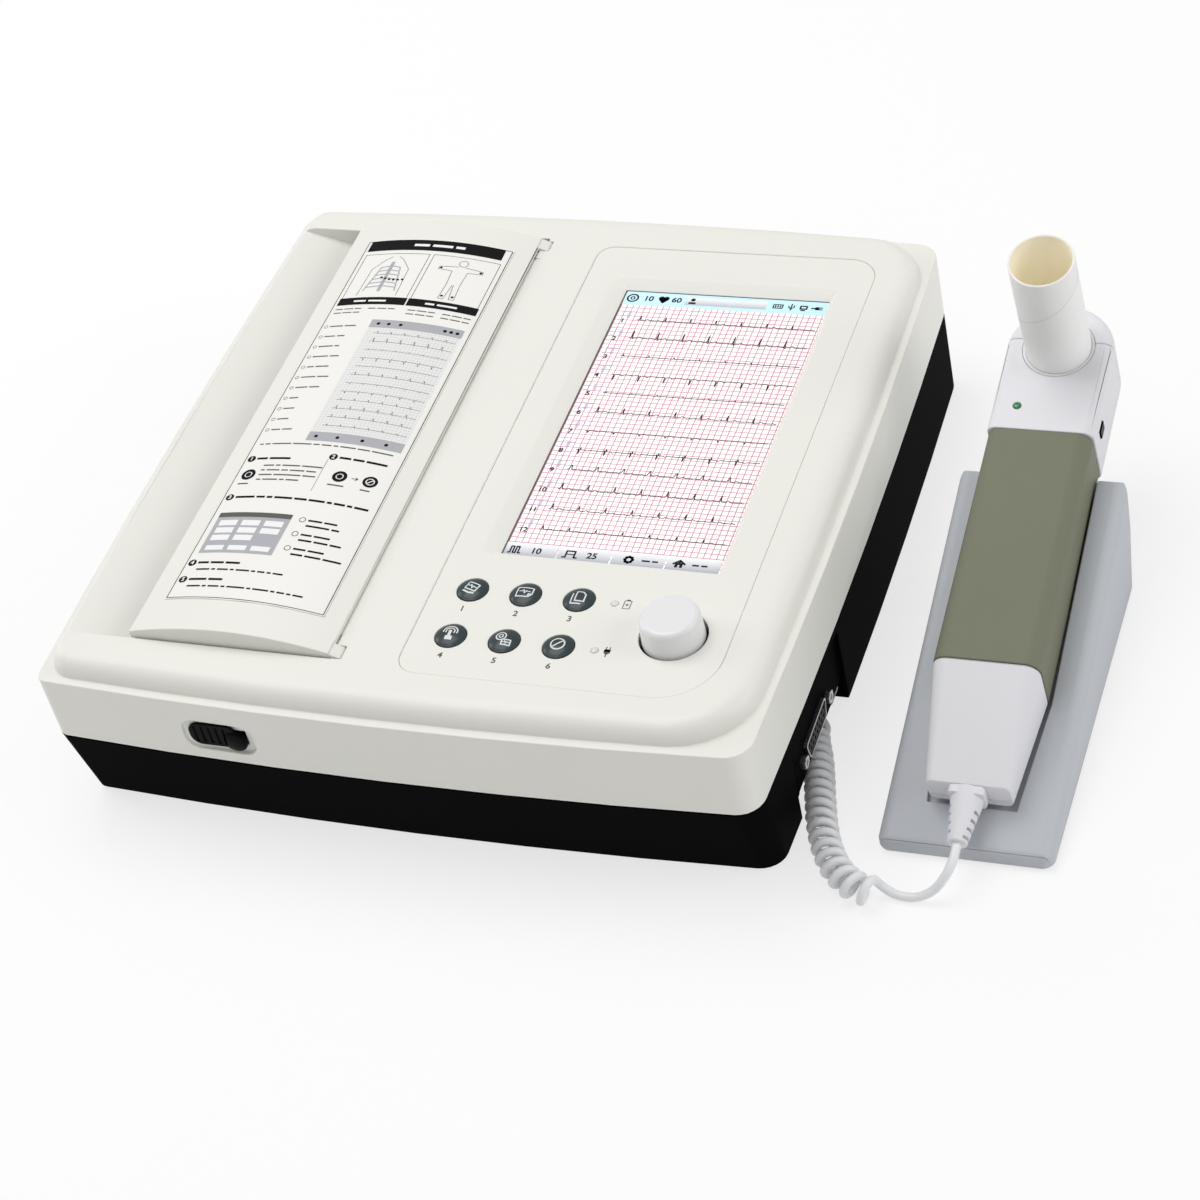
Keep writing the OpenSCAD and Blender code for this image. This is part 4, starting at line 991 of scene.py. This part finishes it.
@dataclass
class Lid(Area):
    """The guide print on the label of the arched printer lid."""

    low: Point2 = (-97.2, -106.0)
    high: Point2 = (-31.6, 109.5)
    x: float = -65.0
    width: float = 82.0
    crown: float = 86.0
    rise: float = 5.5
    tilt: float = 0.6
    film: float = 0.3
    cut_every: float = 3.0
    chest: Point2 = (0.27, 0.115)
    figure: Point2 = (0.74, 0.115)
    bullets: tuple[Point2, ...] = ((0.05, 0.637), (0.58, 0.625), (0.05, 0.74), (0.05, 0.91), (0.05, 0.952))
    buttons: tuple[Point2, ...] = ((0.09, 0.68), (0.68, 0.672), (0.87, 0.672))
    lead_left: float = 0.03
    lead_first: float = 0.262
    lead_step: float = 0.0295
    chart_ends: Point2 = (0.4, 0.94)
    chart_first: float = 0.283
    chart_step: float = 0.0238
    chart_beats: int = 6
    note_left: float = 0.6
    note_first: float = 0.79
    note_step: float = 0.036

    def top(self, x: float, y: float) -> float:
        """Height of the label's film at a place.

        Args:
            x: place across.
            y: place along, which the lid does not bend over.

        Returns:
            The height in millimetres.
        """
        radius = ((self.width / 2) ** 2 + self.rise ** 2) / (2 * self.rise)
        across = x - self.x
        arc = math.sqrt(radius ** 2 - across ** 2) - radius
        return self.crown - across * math.sin(math.radians(self.tilt)) + arc + self.film

    def build(self) -> None:
        """Makes the guide's sheets of ink."""
        sheets = (("guide_chart_paper", 0.03, LABEL_GRID, self.paper),
                  ("guide_pale_print", 0.04, PALE_INK, self.pale),
                  ("guide_grey_print", 0.06, SOFT_INK, self.text),
                  ("guide_white_print", 0.07, WHITE_INK, self.table_cells),
                  ("guide_black_print", 0.06, INK, self.black),
                  ("guide_light_print", 0.08, WHITE_INK, self.light))
        for name, lift, look, draw in sheets:
            ink = Ink()
            draw(ink)
            ink.lay(name, self.top, lift, look, Body.LID, "label_film", self.cut_every)

    def paper(self, ink: Ink) -> None:
        """Draws the field of chart paper."""
        self.box(ink, 0.345, 0.267, 0.955, 0.563)

    def pale(self, ink: Ink) -> None:
        """Draws the pale fields, and a plain chest with its ribs.

        Args:
            ink: sheet to draw on.
        """
        for corners in ((0.345, 0.244, 0.955, 0.267), (0.345, 0.563, 0.955, 0.587),
                        (0.05, 0.792, 0.53, 0.885)):
            self.box(ink, *corners)
        pen = self.pen(ink, *self.chest)
        pen.stroke(((0, 9), (0, -9)), 1.6)
        for i in range(6):
            for side in (-1, 1):
                rib = ((0, 7), (side * (4.2 + 0.5 * i), 6), (side * (4.8 + 0.5 * i), 4))
                pen.stroke([(a, b - 2.6 * i) for a, b in rib], 0.6)

    def text(self, ink: Ink) -> None:
        """Draws the rows of small bars that stand for the label's words.

        Args:
            ink: sheet to draw on.
        """
        self.box(ink, 0.05, 0.781, 0.53, 0.793)
        leads = ((6, 5), (5, 3.4), (6.5, 2), (7, 4), (3, 6), (6.5, 5), (5.5, 4.5), (4,), (5,), (5,),
                 (4, 4.4))
        for i, lengths in enumerate(leads):
            pen = self.pen(ink, self.lead_left, self.lead_first + self.lead_step * i)
            pen.ring(0.8, 0, 0.8, 0.2)
            pen.words(2.6, 0, lengths, 0.66)
        notes = ((0.04, 0.211), (0.04, 0.222), (0.27, 0.211), (0.54, 0.211), (0.54, 0.222), (0.77, 0.211),
                 (0.77, 0.222))
        for note in notes:
            ink.words(*self.place(*note), (3.4, 4.2, 3.0), 0.55, 0.7)
        ink.words(*self.place(0.05, 0.597), (1.6, 2.2, 8.4, 8.0, 2.6, 4.2, 2.0, 6.4, 5.0, 8.6), 0.66)
        rows = ((0.16, 0.656, (4.6, 2.0, 7.6, 8.6)), (0.16, 0.6685, (1.6, 5.6, 2.8, 6.2, 4.0)),
                (0.16, 0.681, (5.8, 11.6, 5.4)), (0.16, 0.6935, (2.0, 6.4, 2.0, 5.4)),
                (0.05, 0.704, (4.6,)), (0.63, 0.695, (6.6,)), (0.835, 0.695, (3.8,)))
        for u, v, lengths in rows:
            ink.words(*self.place(u, v), lengths, 0.7)
        ink.stroke([self.place(0.555, 0.632), self.place(0.555, 0.716)], 0.16)

    def table_cells(self, ink: Ink) -> None:
        """Draws the white cells of the small table.

        Args:
            ink: sheet to draw on.
        """
        for v0, v1, count in ((0.801, 0.815, 3), (0.82, 0.834, 3), (0.839, 0.853, 2), (0.866, 0.878, 3)):
            for i in range(count):
                u = 0.08 + 0.15 * i
                self.box(ink, u, v0, u + 0.12, v1)

    def black(self, ink: Ink) -> None:
        """Draws the frames, the heading bars, the figures, the chart and the steps.

        Args:
            ink: sheet to draw on.
        """
        for *corners, width in ((0.008, 0.003, 0.992, 0.997, 0.3), (0.04, 0.045, 0.49, 0.178, 0.2),
                                (0.52, 0.045, 0.96, 0.178, 0.2)):
            self.outline(ink, *corners, width)
        for corners in ((0.03, 0.003, 0.95, 0.034), (0.03, 0.178, 0.5, 0.199), (0.51, 0.178, 0.97, 0.199)):
            self.box(ink, *corners)
        self.figures(ink)
        self.chart(ink)
        self.steps(ink)

    def figures(self, ink: Ink) -> None:
        """Draws a plain standing figure with a spot on each limb, and six spots on an outlined chest.

        Args:
            ink: sheet to draw on.
        """
        pen = self.pen(ink, *self.figure)
        pen.ring(0, 11.2, 1.9, 0.18)
        half = ((1.4, 9.0), (9.4, 8.2), (9.6, 6.6), (3.4, 6.0), (2.9, -2.0), (3.4, -11.5), (1.2, -11.5),
                (0.3, -2.6))
        chest = self.pen(ink, *self.chest)
        for side in (-1, 1):
            pen.stroke([(side * a, b) for a, b in half], 0.18)
            pen.disc(side * 8.6, 7.4, 0.6)
            pen.disc(side * 2.3, -9.8, 0.6)
            chest.stroke([(side * a, b) for a, b in ((9, -12), (8.4, 5), (4, 11), (1.6, 13))], 0.18)
        for i in range(6):
            chest.disc(-1.8 + 2.0 * i, -0.6 - 0.9 * i + 0.13 * i * i, 0.62)

    def chart(self, ink: Ink) -> None:
        """Draws the small chart of twelve lines and the round marks of its bars.

        Args:
            ink: sheet to draw on.
        """
        for row in range(Screen.rows):
            start, y = self.place(self.chart_ends[0], self.chart_first + row * self.chart_step)
            end = self.place(self.chart_ends[1], 0)[0]
            tall = Screen.heights[row] * 0.5
            points = [(start, y)]
            for beat in range(self.chart_beats):
                at = start + (beat + 0.3) * (end - start) / self.chart_beats
                points += [(at - 0.3, y), (at, y + tall), (at + 0.3, y - tall * 0.3), (at + 0.6, y)]
            ink.stroke(points + [(end, y)], 0.16, joints=False)
        for v, shares in ((0.2555, (0.4, 0.47, 0.55, 0.84, 0.88, 0.92)), (0.575, (0.4, 0.54, 0.7, 0.85))):
            for u in shares:
                ink.disc(*self.place(u, v), 0.8)

    def steps(self, ink: Ink) -> None:
        """Draws the numbered steps: round marks, bold rows, round key pictures and plain rows.

        Args:
            ink: sheet to draw on.
        """
        for places, radius in ((self.bullets, 1.75), (self.buttons, 3.0)):
            for place in places:
                ink.disc(*self.place(*place), radius)
        rows = ((0.09, 0.637, 1.1, (4.6, 9.2)), (0.62, 0.625, 1.1, (4.8, 4.6, 8.4)),
                (0.09, 0.74, 1.1, (8.4, 3.6, 2.4, 7.6, 5.2, 6.6, 2.0, 4.4, 2.0, 5.6)),
                (0.09, 0.91, 1.1, (4.6, 5.6, 6.0)), (0.09, 0.952, 1.1, (7.6, 6.0)),
                (0.1, 0.927, 0.8, (5.8, 1.6, 4.6, 1.6, 5.6, 1.6, 3.0, 1.6, 4.0)),
                (0.1, 0.969, 0.8, (5.8, 1.6, 4.6, 1.6, 7.4, 1.6, 6.4, 1.6, 3.0, 1.6, 4.0)))
        for u, v, height, lengths in rows:
            ink.words(*self.place(u, v), lengths, height)
        arrow = self.pen(ink, 0.775, 0.672)
        arrow.stroke(((-1.2, 0), (1.0, 0)), 0.3)
        arrow.stroke(((0.3, 0.8), (1.2, 0), (0.3, -0.8)), 0.3)
        notes = (((5.6, 5.2), (9.6, 3.0)), ((4.4, 6.4), (5.4, 5.6, 4.4)), ((5.0, 6.4), (4.8, 6.4, 7.2)))
        for i, (first, second) in enumerate(notes):
            pen = self.pen(ink, self.note_left, self.note_first + self.note_step * i)
            pen.ring(0, 0, 1.2, 0.25)
            pen.words(2.4, 0, first, 0.9)
            pen.words(2.4, -2.9, second, 0.9)

    def light(self, ink: Ink) -> None:
        """Draws the light print on the black fields.

        Args:
            ink: sheet to draw on.
        """
        for i, place in enumerate(self.bullets):
            ink.number(str(i + 1), *self.place(*place), 2.0)
        for place, radius, width in zip(self.buttons, (1.4, 1.4, 1.6), (0.4, 0.4, 0.45)):
            ink.ring(*self.place(*place), radius, width)
        self.pen(ink, *self.buttons[-1]).stroke(((-1.1, -1.1), (1.1, 1.1)), 0.45)
        ink.words(*self.place(0.35, 0.0185), (7.0, 9.0, 4.0), 1.5, 1.4)
        ink.words(*self.place(0.14, 0.1885), (5.5, 8.0), 1.1, 1.2)
        ink.words(*self.place(0.63, 0.1885), (4.0, 8.5), 1.1, 1.2)


@dataclass
class HandsetFrame:
    """Frame of the handset: Y along it, Z out of its face, origin at the lower edge of its grip."""

    x: float = 203.5
    y: float = -63.7
    z: float = 48.8
    slope: float = 12.5

    def matrix(self) -> Matrix:
        """Turns handset millimetres into recorder millimetres."""
        turn = Matrix.Rotation(math.radians(self.slope), 4, "X")
        return Matrix.Translation((self.x, self.y, self.z)) @ turn


@dataclass
class Mouthpiece:
    """The card mouthpiece of the handset, white outside and cream inside, with a spiral seam."""

    frame: HandsetFrame = field(default_factory=HandsetFrame)
    tube_y: float = 141.0
    outer: float = 12.5
    inner: float = 11.5
    depth: float = 17.5
    length: float = 52.0
    around: int = 96
    rim_step: int = 30
    seam: float = 0.35
    seam_lift: float = 0.04
    seam_start: float = 0.4
    seam_turns: float = 1.1
    seam_steps: int = 60
    seam_ends: Point2 = (1.0, 1.5)

    def build(self) -> None:
        """Makes the mouthpiece with a soft rolled rim."""
        middle = (self.outer + self.inner) / 2
        half = (self.outer - self.inner) / 2
        angles = [math.radians(a) for a in range(0, 181, self.rim_step)]
        rim = [(middle + half * math.cos(a), self.length - half + half * math.sin(a)) for a in angles]
        shape = lathe([(self.inner, -self.depth), (self.outer, -self.depth)] + rim, self.around, closed=True)
        for face in shape.faces:
            outwards = face.calc_center_median()
            outwards.z = 0.0
            face.material_index = int(face.normal.dot(outwards.normalized()) < -0.5)
        place = TO_SET @ self.frame.matrix() @ Matrix.Translation((0, self.tube_y, 0))
        move(shape, place)
        # The inward faces take the cream card, whose glow is painted light on the inside of the tube.
        piece("mouth_card_tube", shape, [CARD, CREAM_PAINTED_GLOW], Body.MOUTH, "paper", ("mouthpiece",), 50)
        seams = self.seams()
        move(seams, place)
        piece("mouth_card_seams", seams, [SEAM], Body.MOUTH, "paper", smooth=None)

    def seams(self) -> Shape:
        """The faint spiral seam of the wound card, about the tube's middle line.

        Returns:
            A narrow band.
        """
        shape = bmesh.new()
        radius = self.outer + self.seam_lift
        rows = []
        for i in range(self.seam_steps + 1):
            share = i / self.seam_steps
            angle = self.seam_start + 2 * math.pi * self.seam_turns * share
            z = self.seam_ends[0] + (self.length - sum(self.seam_ends)) * share
            rows.append([shape.verts.new((radius * math.cos(angle), radius * math.sin(angle), z + lift))
                         for lift in (0.0, self.seam)])
        for (a, b), (d, c) in zip(rows, rows[1:]):
            shape.faces.new((a, d, c, b))
        return shape


@dataclass
class Fittings:
    """Small fittings of the sockets: the rim of the patient socket, mains blades and contacts."""

    wall_x: float = 140.5
    socket_y: float = -81.0
    socket_z: float = 22.0
    shell: Point2 = (25.2, 8.6)
    slant: float = 0.18
    corner: Point2 = (1.0, 1.2)
    rim: float = 0.55
    inlet_x: float = 61.0

    def outline(self, margin: float) -> list[Point2]:
        """Outline of the D-shaped shell.

        Args:
            margin: distance outside the shell.

        Returns:
            Its corners in Y and Z.
        """
        w, h = self.shell[0] / 2 + margin, self.shell[1] / 2 + margin
        foot = w - 2 * h * self.slant
        low, high = self.corner
        right = ((foot - low, -h), (foot, -h + low), (w, h - high), (w - high, h))
        left = [(-y, z) for y, z in reversed(right)]
        return [(self.socket_y + y, self.socket_z + z) for y, z in (*right, *left)]

    def socket_rim(self) -> None:
        """Makes the steel rim around the patient socket."""
        shape = bmesh.new()
        loops = []
        for margin, x in ((0.12, 0.02), (0.12, 1.6), (-self.rim, 1.6), (-self.rim, 1.42)):
            loops.append([shape.verts.new((self.wall_x + x, y, z)) for y, z in self.outline(margin)])
        for first, second in zip(loops, loops[1:]):
            for k in range(len(first)):
                shape.faces.new((first[k - 1], first[k], second[k], second[k - 1]))
        bmesh.ops.recalc_face_normals(shape, faces=shape.faces[:])
        move(shape, TO_SET)
        piece("socket_rim", shape, [STEEL], Body.RECORDER, "steel", smooth=30)

    def build(self) -> None:
        """Makes the rim, the blades, the tongues, the contacts and the rating plate."""
        self.socket_rim()
        blades = [((self.inlet_x + x - 1, 129, z - 2), (self.inlet_x + x + 1, 141, z + 2))
                  for x, z in ((-7, 20.6), (0, 24.8), (7, 20.6))]
        tongues = [((x + 1.4, 130.2, 15.9), (x + 9.6, 141.5, 17.4)) for x in (2.0, 15.4)]
        wires = [((-13.4 + i, 128, 20.2), (-13.0 + i, 139, 20.6)) for i in range(8)]
        plate = [((-36, -40, 1.75), (44, 10, 2.02))]
        for name, boxes, look, slot, soft in (("inlet_blades", blades, STEEL, "steel", 0.4),
                                              ("port_tongues", tongues, MOULDED, "gear_plastic", 0.3),
                                              ("network_contacts", wires, BRASS, "brass", 0.1),
                                              ("rating_plate", plate, FILM, "label_film", 0.12)):
            shape = soft_blocks(boxes, soft)
            move(shape, TO_SET)
            piece(name, shape, [look], Body.RECORDER, slot)


@dataclass
class CurlyCord:
    """The curly cord from the recorder's plug to the handset, in recorder millimetres."""

    wire: float = 3.4
    round_steps: int = 3
    weld: float = 0.00002
    curl: float = 12.0
    curls: int = 20
    rings: int = 20
    packing: Point3 = (0.94, 0.1667, 0.4)
    opened: Point2 = (1.35, 0.8)
    plug: Point3 = (134.5, -58.0, 8.4)
    plug_straight: float = 0.6
    plug_pull: Point2 = (8.0, 14.0)
    axis: tuple[Point3, ...] = ((134.5, -63.2, 8.4), (136.8, -73, 6.5), (140.6, -82.6, 6.2),
                                (143.8, -92.6, 6.2), (147, -103, 6.2), (150.5, -113.4, 6.2),
                                (155, -123.4, 6.2), (161, -132.4, 6.2), (169.5, -139.2, 6.2),
                                (180, -141, 6.2))
    tail: tuple[Point3, ...] = ((180, -136.8, 2.6), (186, -137.6, 2), (192, -137.6, 2.8), (197.6, -136, 6),
                                (201.8, -132.6, 11.2))
    tail_pull: Point2 = (12.0, 12.0)
    tail_steps: int = 36
    relief: Point3 = (0.0, -64.0, -20.0)
    relief_straight: float = 2.0
    still_x: float = 140.0
    lifted_x: float = 201.0
    frame: HandsetFrame = field(default_factory=HandsetFrame)

    @staticmethod
    def along(points: Sequence[Vector], share: float) -> Vector:
        """Place on a smooth curve through points.

        Args:
            points: points of the curve.
            share: share of its spans, 0 to 1.

        Returns:
            The place.
        """
        spans = len(points) - 1
        i = min(int(share * spans), spans - 1)
        u = share * spans - i
        a, b, c, d = points[max(i - 1, 0)], points[i], points[i + 1], points[min(i + 2, spans)]
        bend = (2 * a - 5 * b + 4 * c - d) * u * u + (3 * b - a - 3 * c + d) * u ** 3
        return 0.5 * (2 * b + (c - a) * u + bend)

    @staticmethod
    def bridge(start: Vector, leave: Vector, end: Vector, arrive: Vector, steps: int = 20) -> list[Vector]:
        """Smooth curve between two places with a pull at each, without its ends."""
        return interpolate_bezier(start, start + leave / 3, end - arrive / 3, end, steps + 1)[1:-1]

    def curl_point(self, share: float, nudge: float = 0.002) -> Vector:
        """Place on the curls.

        Args:
            share: share of the number of curls.
            nudge: half the share of the axis over which its direction is measured.

        Returns:
            The place.
        """
        axis = [Vector(p) for p in self.axis]
        even, wider, wider_from = self.packing
        s = even * share + wider * max(share - wider_from, 0.0) ** 2
        way = self.along(axis, min(s + nudge, 1.0)) - self.along(axis, max(s - nudge, 0.0))
        way.z = 0.0
        way.normalize()
        side = Vector((-way.y, way.x, 0.0))
        angle = 2 * math.pi * self.curls * share
        reach = (self.curl - self.wire) / 2
        return self.along(axis, s) + reach * (math.sin(angle) * side + math.cos(angle) * Vector((0, 0, 1)))

    def curl_way(self, share: float, nudge: float = 0.0005) -> Vector:
        """Direction of the cord at a share of its curls."""
        return (self.curl_point(share + nudge) - self.curl_point(share - nudge)).normalized()

    def line(self) -> list[Vector]:
        """The cord's middle line, from the plug to the strain relief.

        Returns:
            Its points in the set's metres.
        """
        first, last = self.opened[0] / self.curls, 1 - self.opened[1] / self.curls
        steps = round((last - first) * self.curls * self.rings)
        curls = [self.curl_point(first + (last - first) * i / steps) for i in range(steps + 1)]
        out = Vector((0, -1, 0))
        plug = Vector(self.plug)
        begin = [plug, plug + self.plug_straight * self.wire * out]
        begin += self.bridge(begin[-1], self.plug_pull[0] * out,
                             curls[0], self.plug_pull[1] * self.curl_way(first))
        turn = self.frame.matrix()
        tip = turn @ Vector(self.relief)
        into = turn.to_3x3() @ out
        knots = [Vector(p) for p in self.tail] + [tip + into * (self.wire + self.relief_straight), tip]
        tail_way = (knots[2] - knots[0]).normalized()
        spans = len(knots) - 1
        tail = self.bridge(curls[-1], self.tail_pull[0] * self.curl_way(last),
                           knots[1], self.tail_pull[1] * tail_way)
        tail += [self.along(knots, (1 + (spans - 2) * i / self.tail_steps) / spans)
                 for i in range(self.tail_steps + 1)]
        return [TO_SET @ p for p in begin + curls + tail + [tip + into * self.wire, tip]]

    def tube(self, points: Sequence[Vector]) -> bpy.types.Mesh:
        """Makes the cord's round tube.

        Args:
            points: its middle line in metres.

        Returns:
            A smooth closed mesh.
        """
        curve = bpy.data.curves.new("cord_line", "CURVE")
        curve.dimensions = "3D"
        curve.bevel_depth = self.wire / 2 * MM
        curve.bevel_resolution = self.round_steps
        curve.use_fill_caps = True
        spline = curve.splines.new("POLY")
        spline.points.add(len(points) - 1)
        for knot, place in zip(spline.points, points):
            knot.co = (*place, 1.0)
        mesh = curve_mesh(curve)
        shape = bmesh.new()
        shape.from_mesh(mesh)
        bpy.data.meshes.remove(mesh)
        bmesh.ops.remove_doubles(shape, verts=shape.verts[:], dist=self.weld)
        bmesh.ops.recalc_face_normals(shape, faces=shape.faces[:])
        return mesh_of(shape, "handset_curly_cord", 50)

    def build(self) -> None:
        points = self.line()
        mesh = self.tube(points)
        mesh.materials.append(CORD.material())
        cord = link("handset_curly_cord", mesh)
        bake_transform(cord)
        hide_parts("handset_cord")
        length = sum((b - a).length for a, b in zip(points, points[1:]))
        tuple(points[0])
        LOG.info("cord length %.3f m", length)


@dataclass(frozen=True)
class Lamp:
    """One soft square lamp, in metres and watts."""

    name: str
    place: Point3
    aim: Point3
    size: float
    power: float

    def build(self) -> None:
        """Adds the lamp to the scene."""
        data = bpy.data.lights.new(self.name, "AREA")
        data.size = self.size
        data.energy = self.power
        lamp = link(self.name, data)
        lamp.location = self.place
        lamp.rotation_euler = (Vector(self.aim) - Vector(self.place)).to_track_quat("-Z", "Y").to_euler()


@dataclass
class Studio:
    """Pale floor, plain soft light and the camera at the photograph's angle."""

    azimuth: float = 27.657
    elevation: float = 42.657
    roll: float = -14.117
    distance: float = 1166.18
    target: Point3 = (52.642, -41.751, 40.0)
    focal: float = 3065.1
    centre: Point2 = (612.74, 597.66)
    picture: float = 1200.0
    sensor: float = 36.0
    floor_half: float = 6.0
    floor_tone: float = 0.95
    floor_glow: float = 0.72
    sky: float = 0.45
    lamps: tuple[Lamp, ...] = (Lamp("key_lamp", (-0.5, 0.2, 1.7), (0.0, 0.0, 0.05), 1.2, 14.6),
                               Lamp("side_lamp", (1.7, 0.1, 0.9), (0.1, 0.0, 0.05), 1.0, 8.6),
                               Lamp("left_lamp", (-1.7, 0.2, 0.8), (0.1, 0.0, 0.1), 0.8, 6.5))

    def camera(self) -> None:
        """Places the camera for a square picture."""
        a, e, r = (math.radians(v) for v in (self.azimuth, self.elevation, self.roll))
        back = Vector((math.sin(a) * math.cos(e), -math.cos(a) * math.cos(e), math.sin(e)))
        right = Vector((math.cos(a), math.sin(a), 0.0))
        up = back.cross(right)
        across = math.cos(r) * right + math.sin(r) * up
        upright = -math.sin(r) * right + math.cos(r) * up
        data = bpy.data.cameras.new("photo_camera")
        data.sensor_width = self.sensor
        data.lens = self.focal / self.picture * self.sensor
        data.shift_x = (self.picture / 2 - self.centre[0]) / self.picture
        data.shift_y = (self.centre[1] - self.picture / 2) / self.picture
        data.clip_end = 50.0
        camera = link("photo_camera", data)
        turn = Matrix((across, upright, back)).transposed().to_4x4()
        eye = TO_SET @ (Vector(self.target) + back * self.distance)
        camera.matrix_world = Matrix.Translation(eye) @ turn
        bpy.context.scene.camera = camera

    def floor(self) -> None:
        """Makes the pale floor, which shows white to the camera and keeps a soft shadow."""
        shape = bmesh.new()
        bmesh.ops.create_grid(shape, x_segments=1, y_segments=1, size=self.floor_half)
        mesh = mesh_of(shape, "studio_floor", None)
        thing = link("studio_floor", mesh)
        material = bpy.data.materials.new("studio_white")
        material.use_nodes = True
        tree = material.node_tree
        shader = tree.nodes["Principled BSDF"]
        feed(tree, shader, {"Base Color": (*[self.floor_tone] * 3, 1.0), "Roughness": 0.9,
                            "Specular IOR Level": 0.1})
        light = add_node(tree, "Emission", {"Strength": 1.0})
        rays = add_node(tree, "LightPath", {}).outputs
        seen = add_node(tree, "Math", {0: rays["Is Camera Ray"], 1: rays["Is Glossy Ray"]},
                        operation="MAXIMUM")
        share = add_node(tree, "Math", {0: seen.outputs["Value"], 1: self.floor_glow}, operation="MULTIPLY")
        mix = add_node(tree, "MixShader", {"Fac": share.outputs["Value"], 1: shader.outputs["BSDF"],
                                           2: light.outputs["Emission"]})
        feed(tree, tree.nodes["Material Output"], {"Surface": mix.outputs["Shader"]})
        mesh.materials.append(material)

    def light(self) -> None:
        """Sets the world, which is white to the camera and dimmer as a light, and the lamps."""
        world = bpy.data.worlds.new("studio_world")
        bpy.context.scene.world = world
        world.use_nodes = True
        tree = world.node_tree
        rays = add_node(tree, "LightPath", {})
        level = add_node(tree, "MapRange", {"Value": rays.outputs["Is Camera Ray"], "To Min": self.sky,
                                            "To Max": 1.0})
        feed(tree, tree.nodes["Background"], {"Color": (1.0, 1.0, 1.0, 1.0),
                                              "Strength": level.outputs["Result"]})
        for lamp in self.lamps:
            lamp.build()

    def build(self) -> None:
        """Sets up the whole studio."""
        self.camera()
        self.floor()
        self.light()
        bpy.context.scene.view_settings.view_transform = "Standard"


CAD_FINISHES: tuple[tuple[Finish, dict[str, float]], ...] = (
    (IVORY, {"upper_case": 0.5, "control_panel": 0.35, "printer_lid": 0.4}),
    (BLACK, {"lower_case": 0.5, "mains_inlet": 0.3}),
    (FILM, {"guide_label": 0.0}),
    (LATCH, {"latch_slider": 0.25}),
    (KNOB, {"jog_knob": 0.2}),
    (LENS, {"indicator_lights": 0.0}),
    (GLOSS_BLACK, {"ecg_socket": 0.12, "power_rocker": 0.3, "handset_button": 0.2}),
    (STEEL, {"jack_screws": 0.15, "data_ports": 0.2, "case_screws": 0.1, "flow_screen": 0.0,
             "handset_screws": 0.1, "jog_shaft": 0.1, "lid_hinge_pins": 0.1, "feed_motor": 0.4}),
    (RUBBER, {"rubber_feet": 0.4, "cradle_feet": 0.2, "platen_roller": 0.3}),
    (CRADLE, {"cradle": 0.6}),
    (HANDSET, {"handset_front": 0.5, "handset_rear": 0.5, "head_cap": 0.5, "flow_tube": 0.3,
               "strain_relief": 0.15, "cord_plug": 0.2}),
    (OLIVE, {"grip_sleeve": 0.4}),
    (GREEN, {"handset_lamp": 0.0}),
    (BOARD, {"handset_board": 0.0, "key_board": 0.0, "main_board": 0.0}),
    (CHARCOAL, {"lcd_module": 0.2, "encoder": 0.2, "roll_spindle": 0.3, "handset_socket": 0.1,
                "switch_housing": 0.3}),
    (MOULDED, {"platen_gear": 0.0, "paper_tray": 0.4}),
    (BRASS, {"motor_pinion": 0.0}),
    (ALUMINIUM, {"print_head": 0.2, "power_supply": 0.4}),
    (PAPER, {"paper_roll": 0.2}),
    (WRAP, {"battery_pack": 0.8}),
)


def main() -> None:
    """Builds the set's pieces in order."""
    logging.basicConfig(level=logging.INFO, format="%(message)s")
    Studio().build()
    CurlyCord().build()
    dresser = CadDress()
    for finish, nodes in CAD_FINISHES:
        for node, edge in nodes.items():
            dresser.dress(node, finish, edge)
    Screen().build()
    Keys().build()
    Lid().build()
    Mouthpiece().build()
    Fittings().build()


if __name__ == "__main__":
    main()
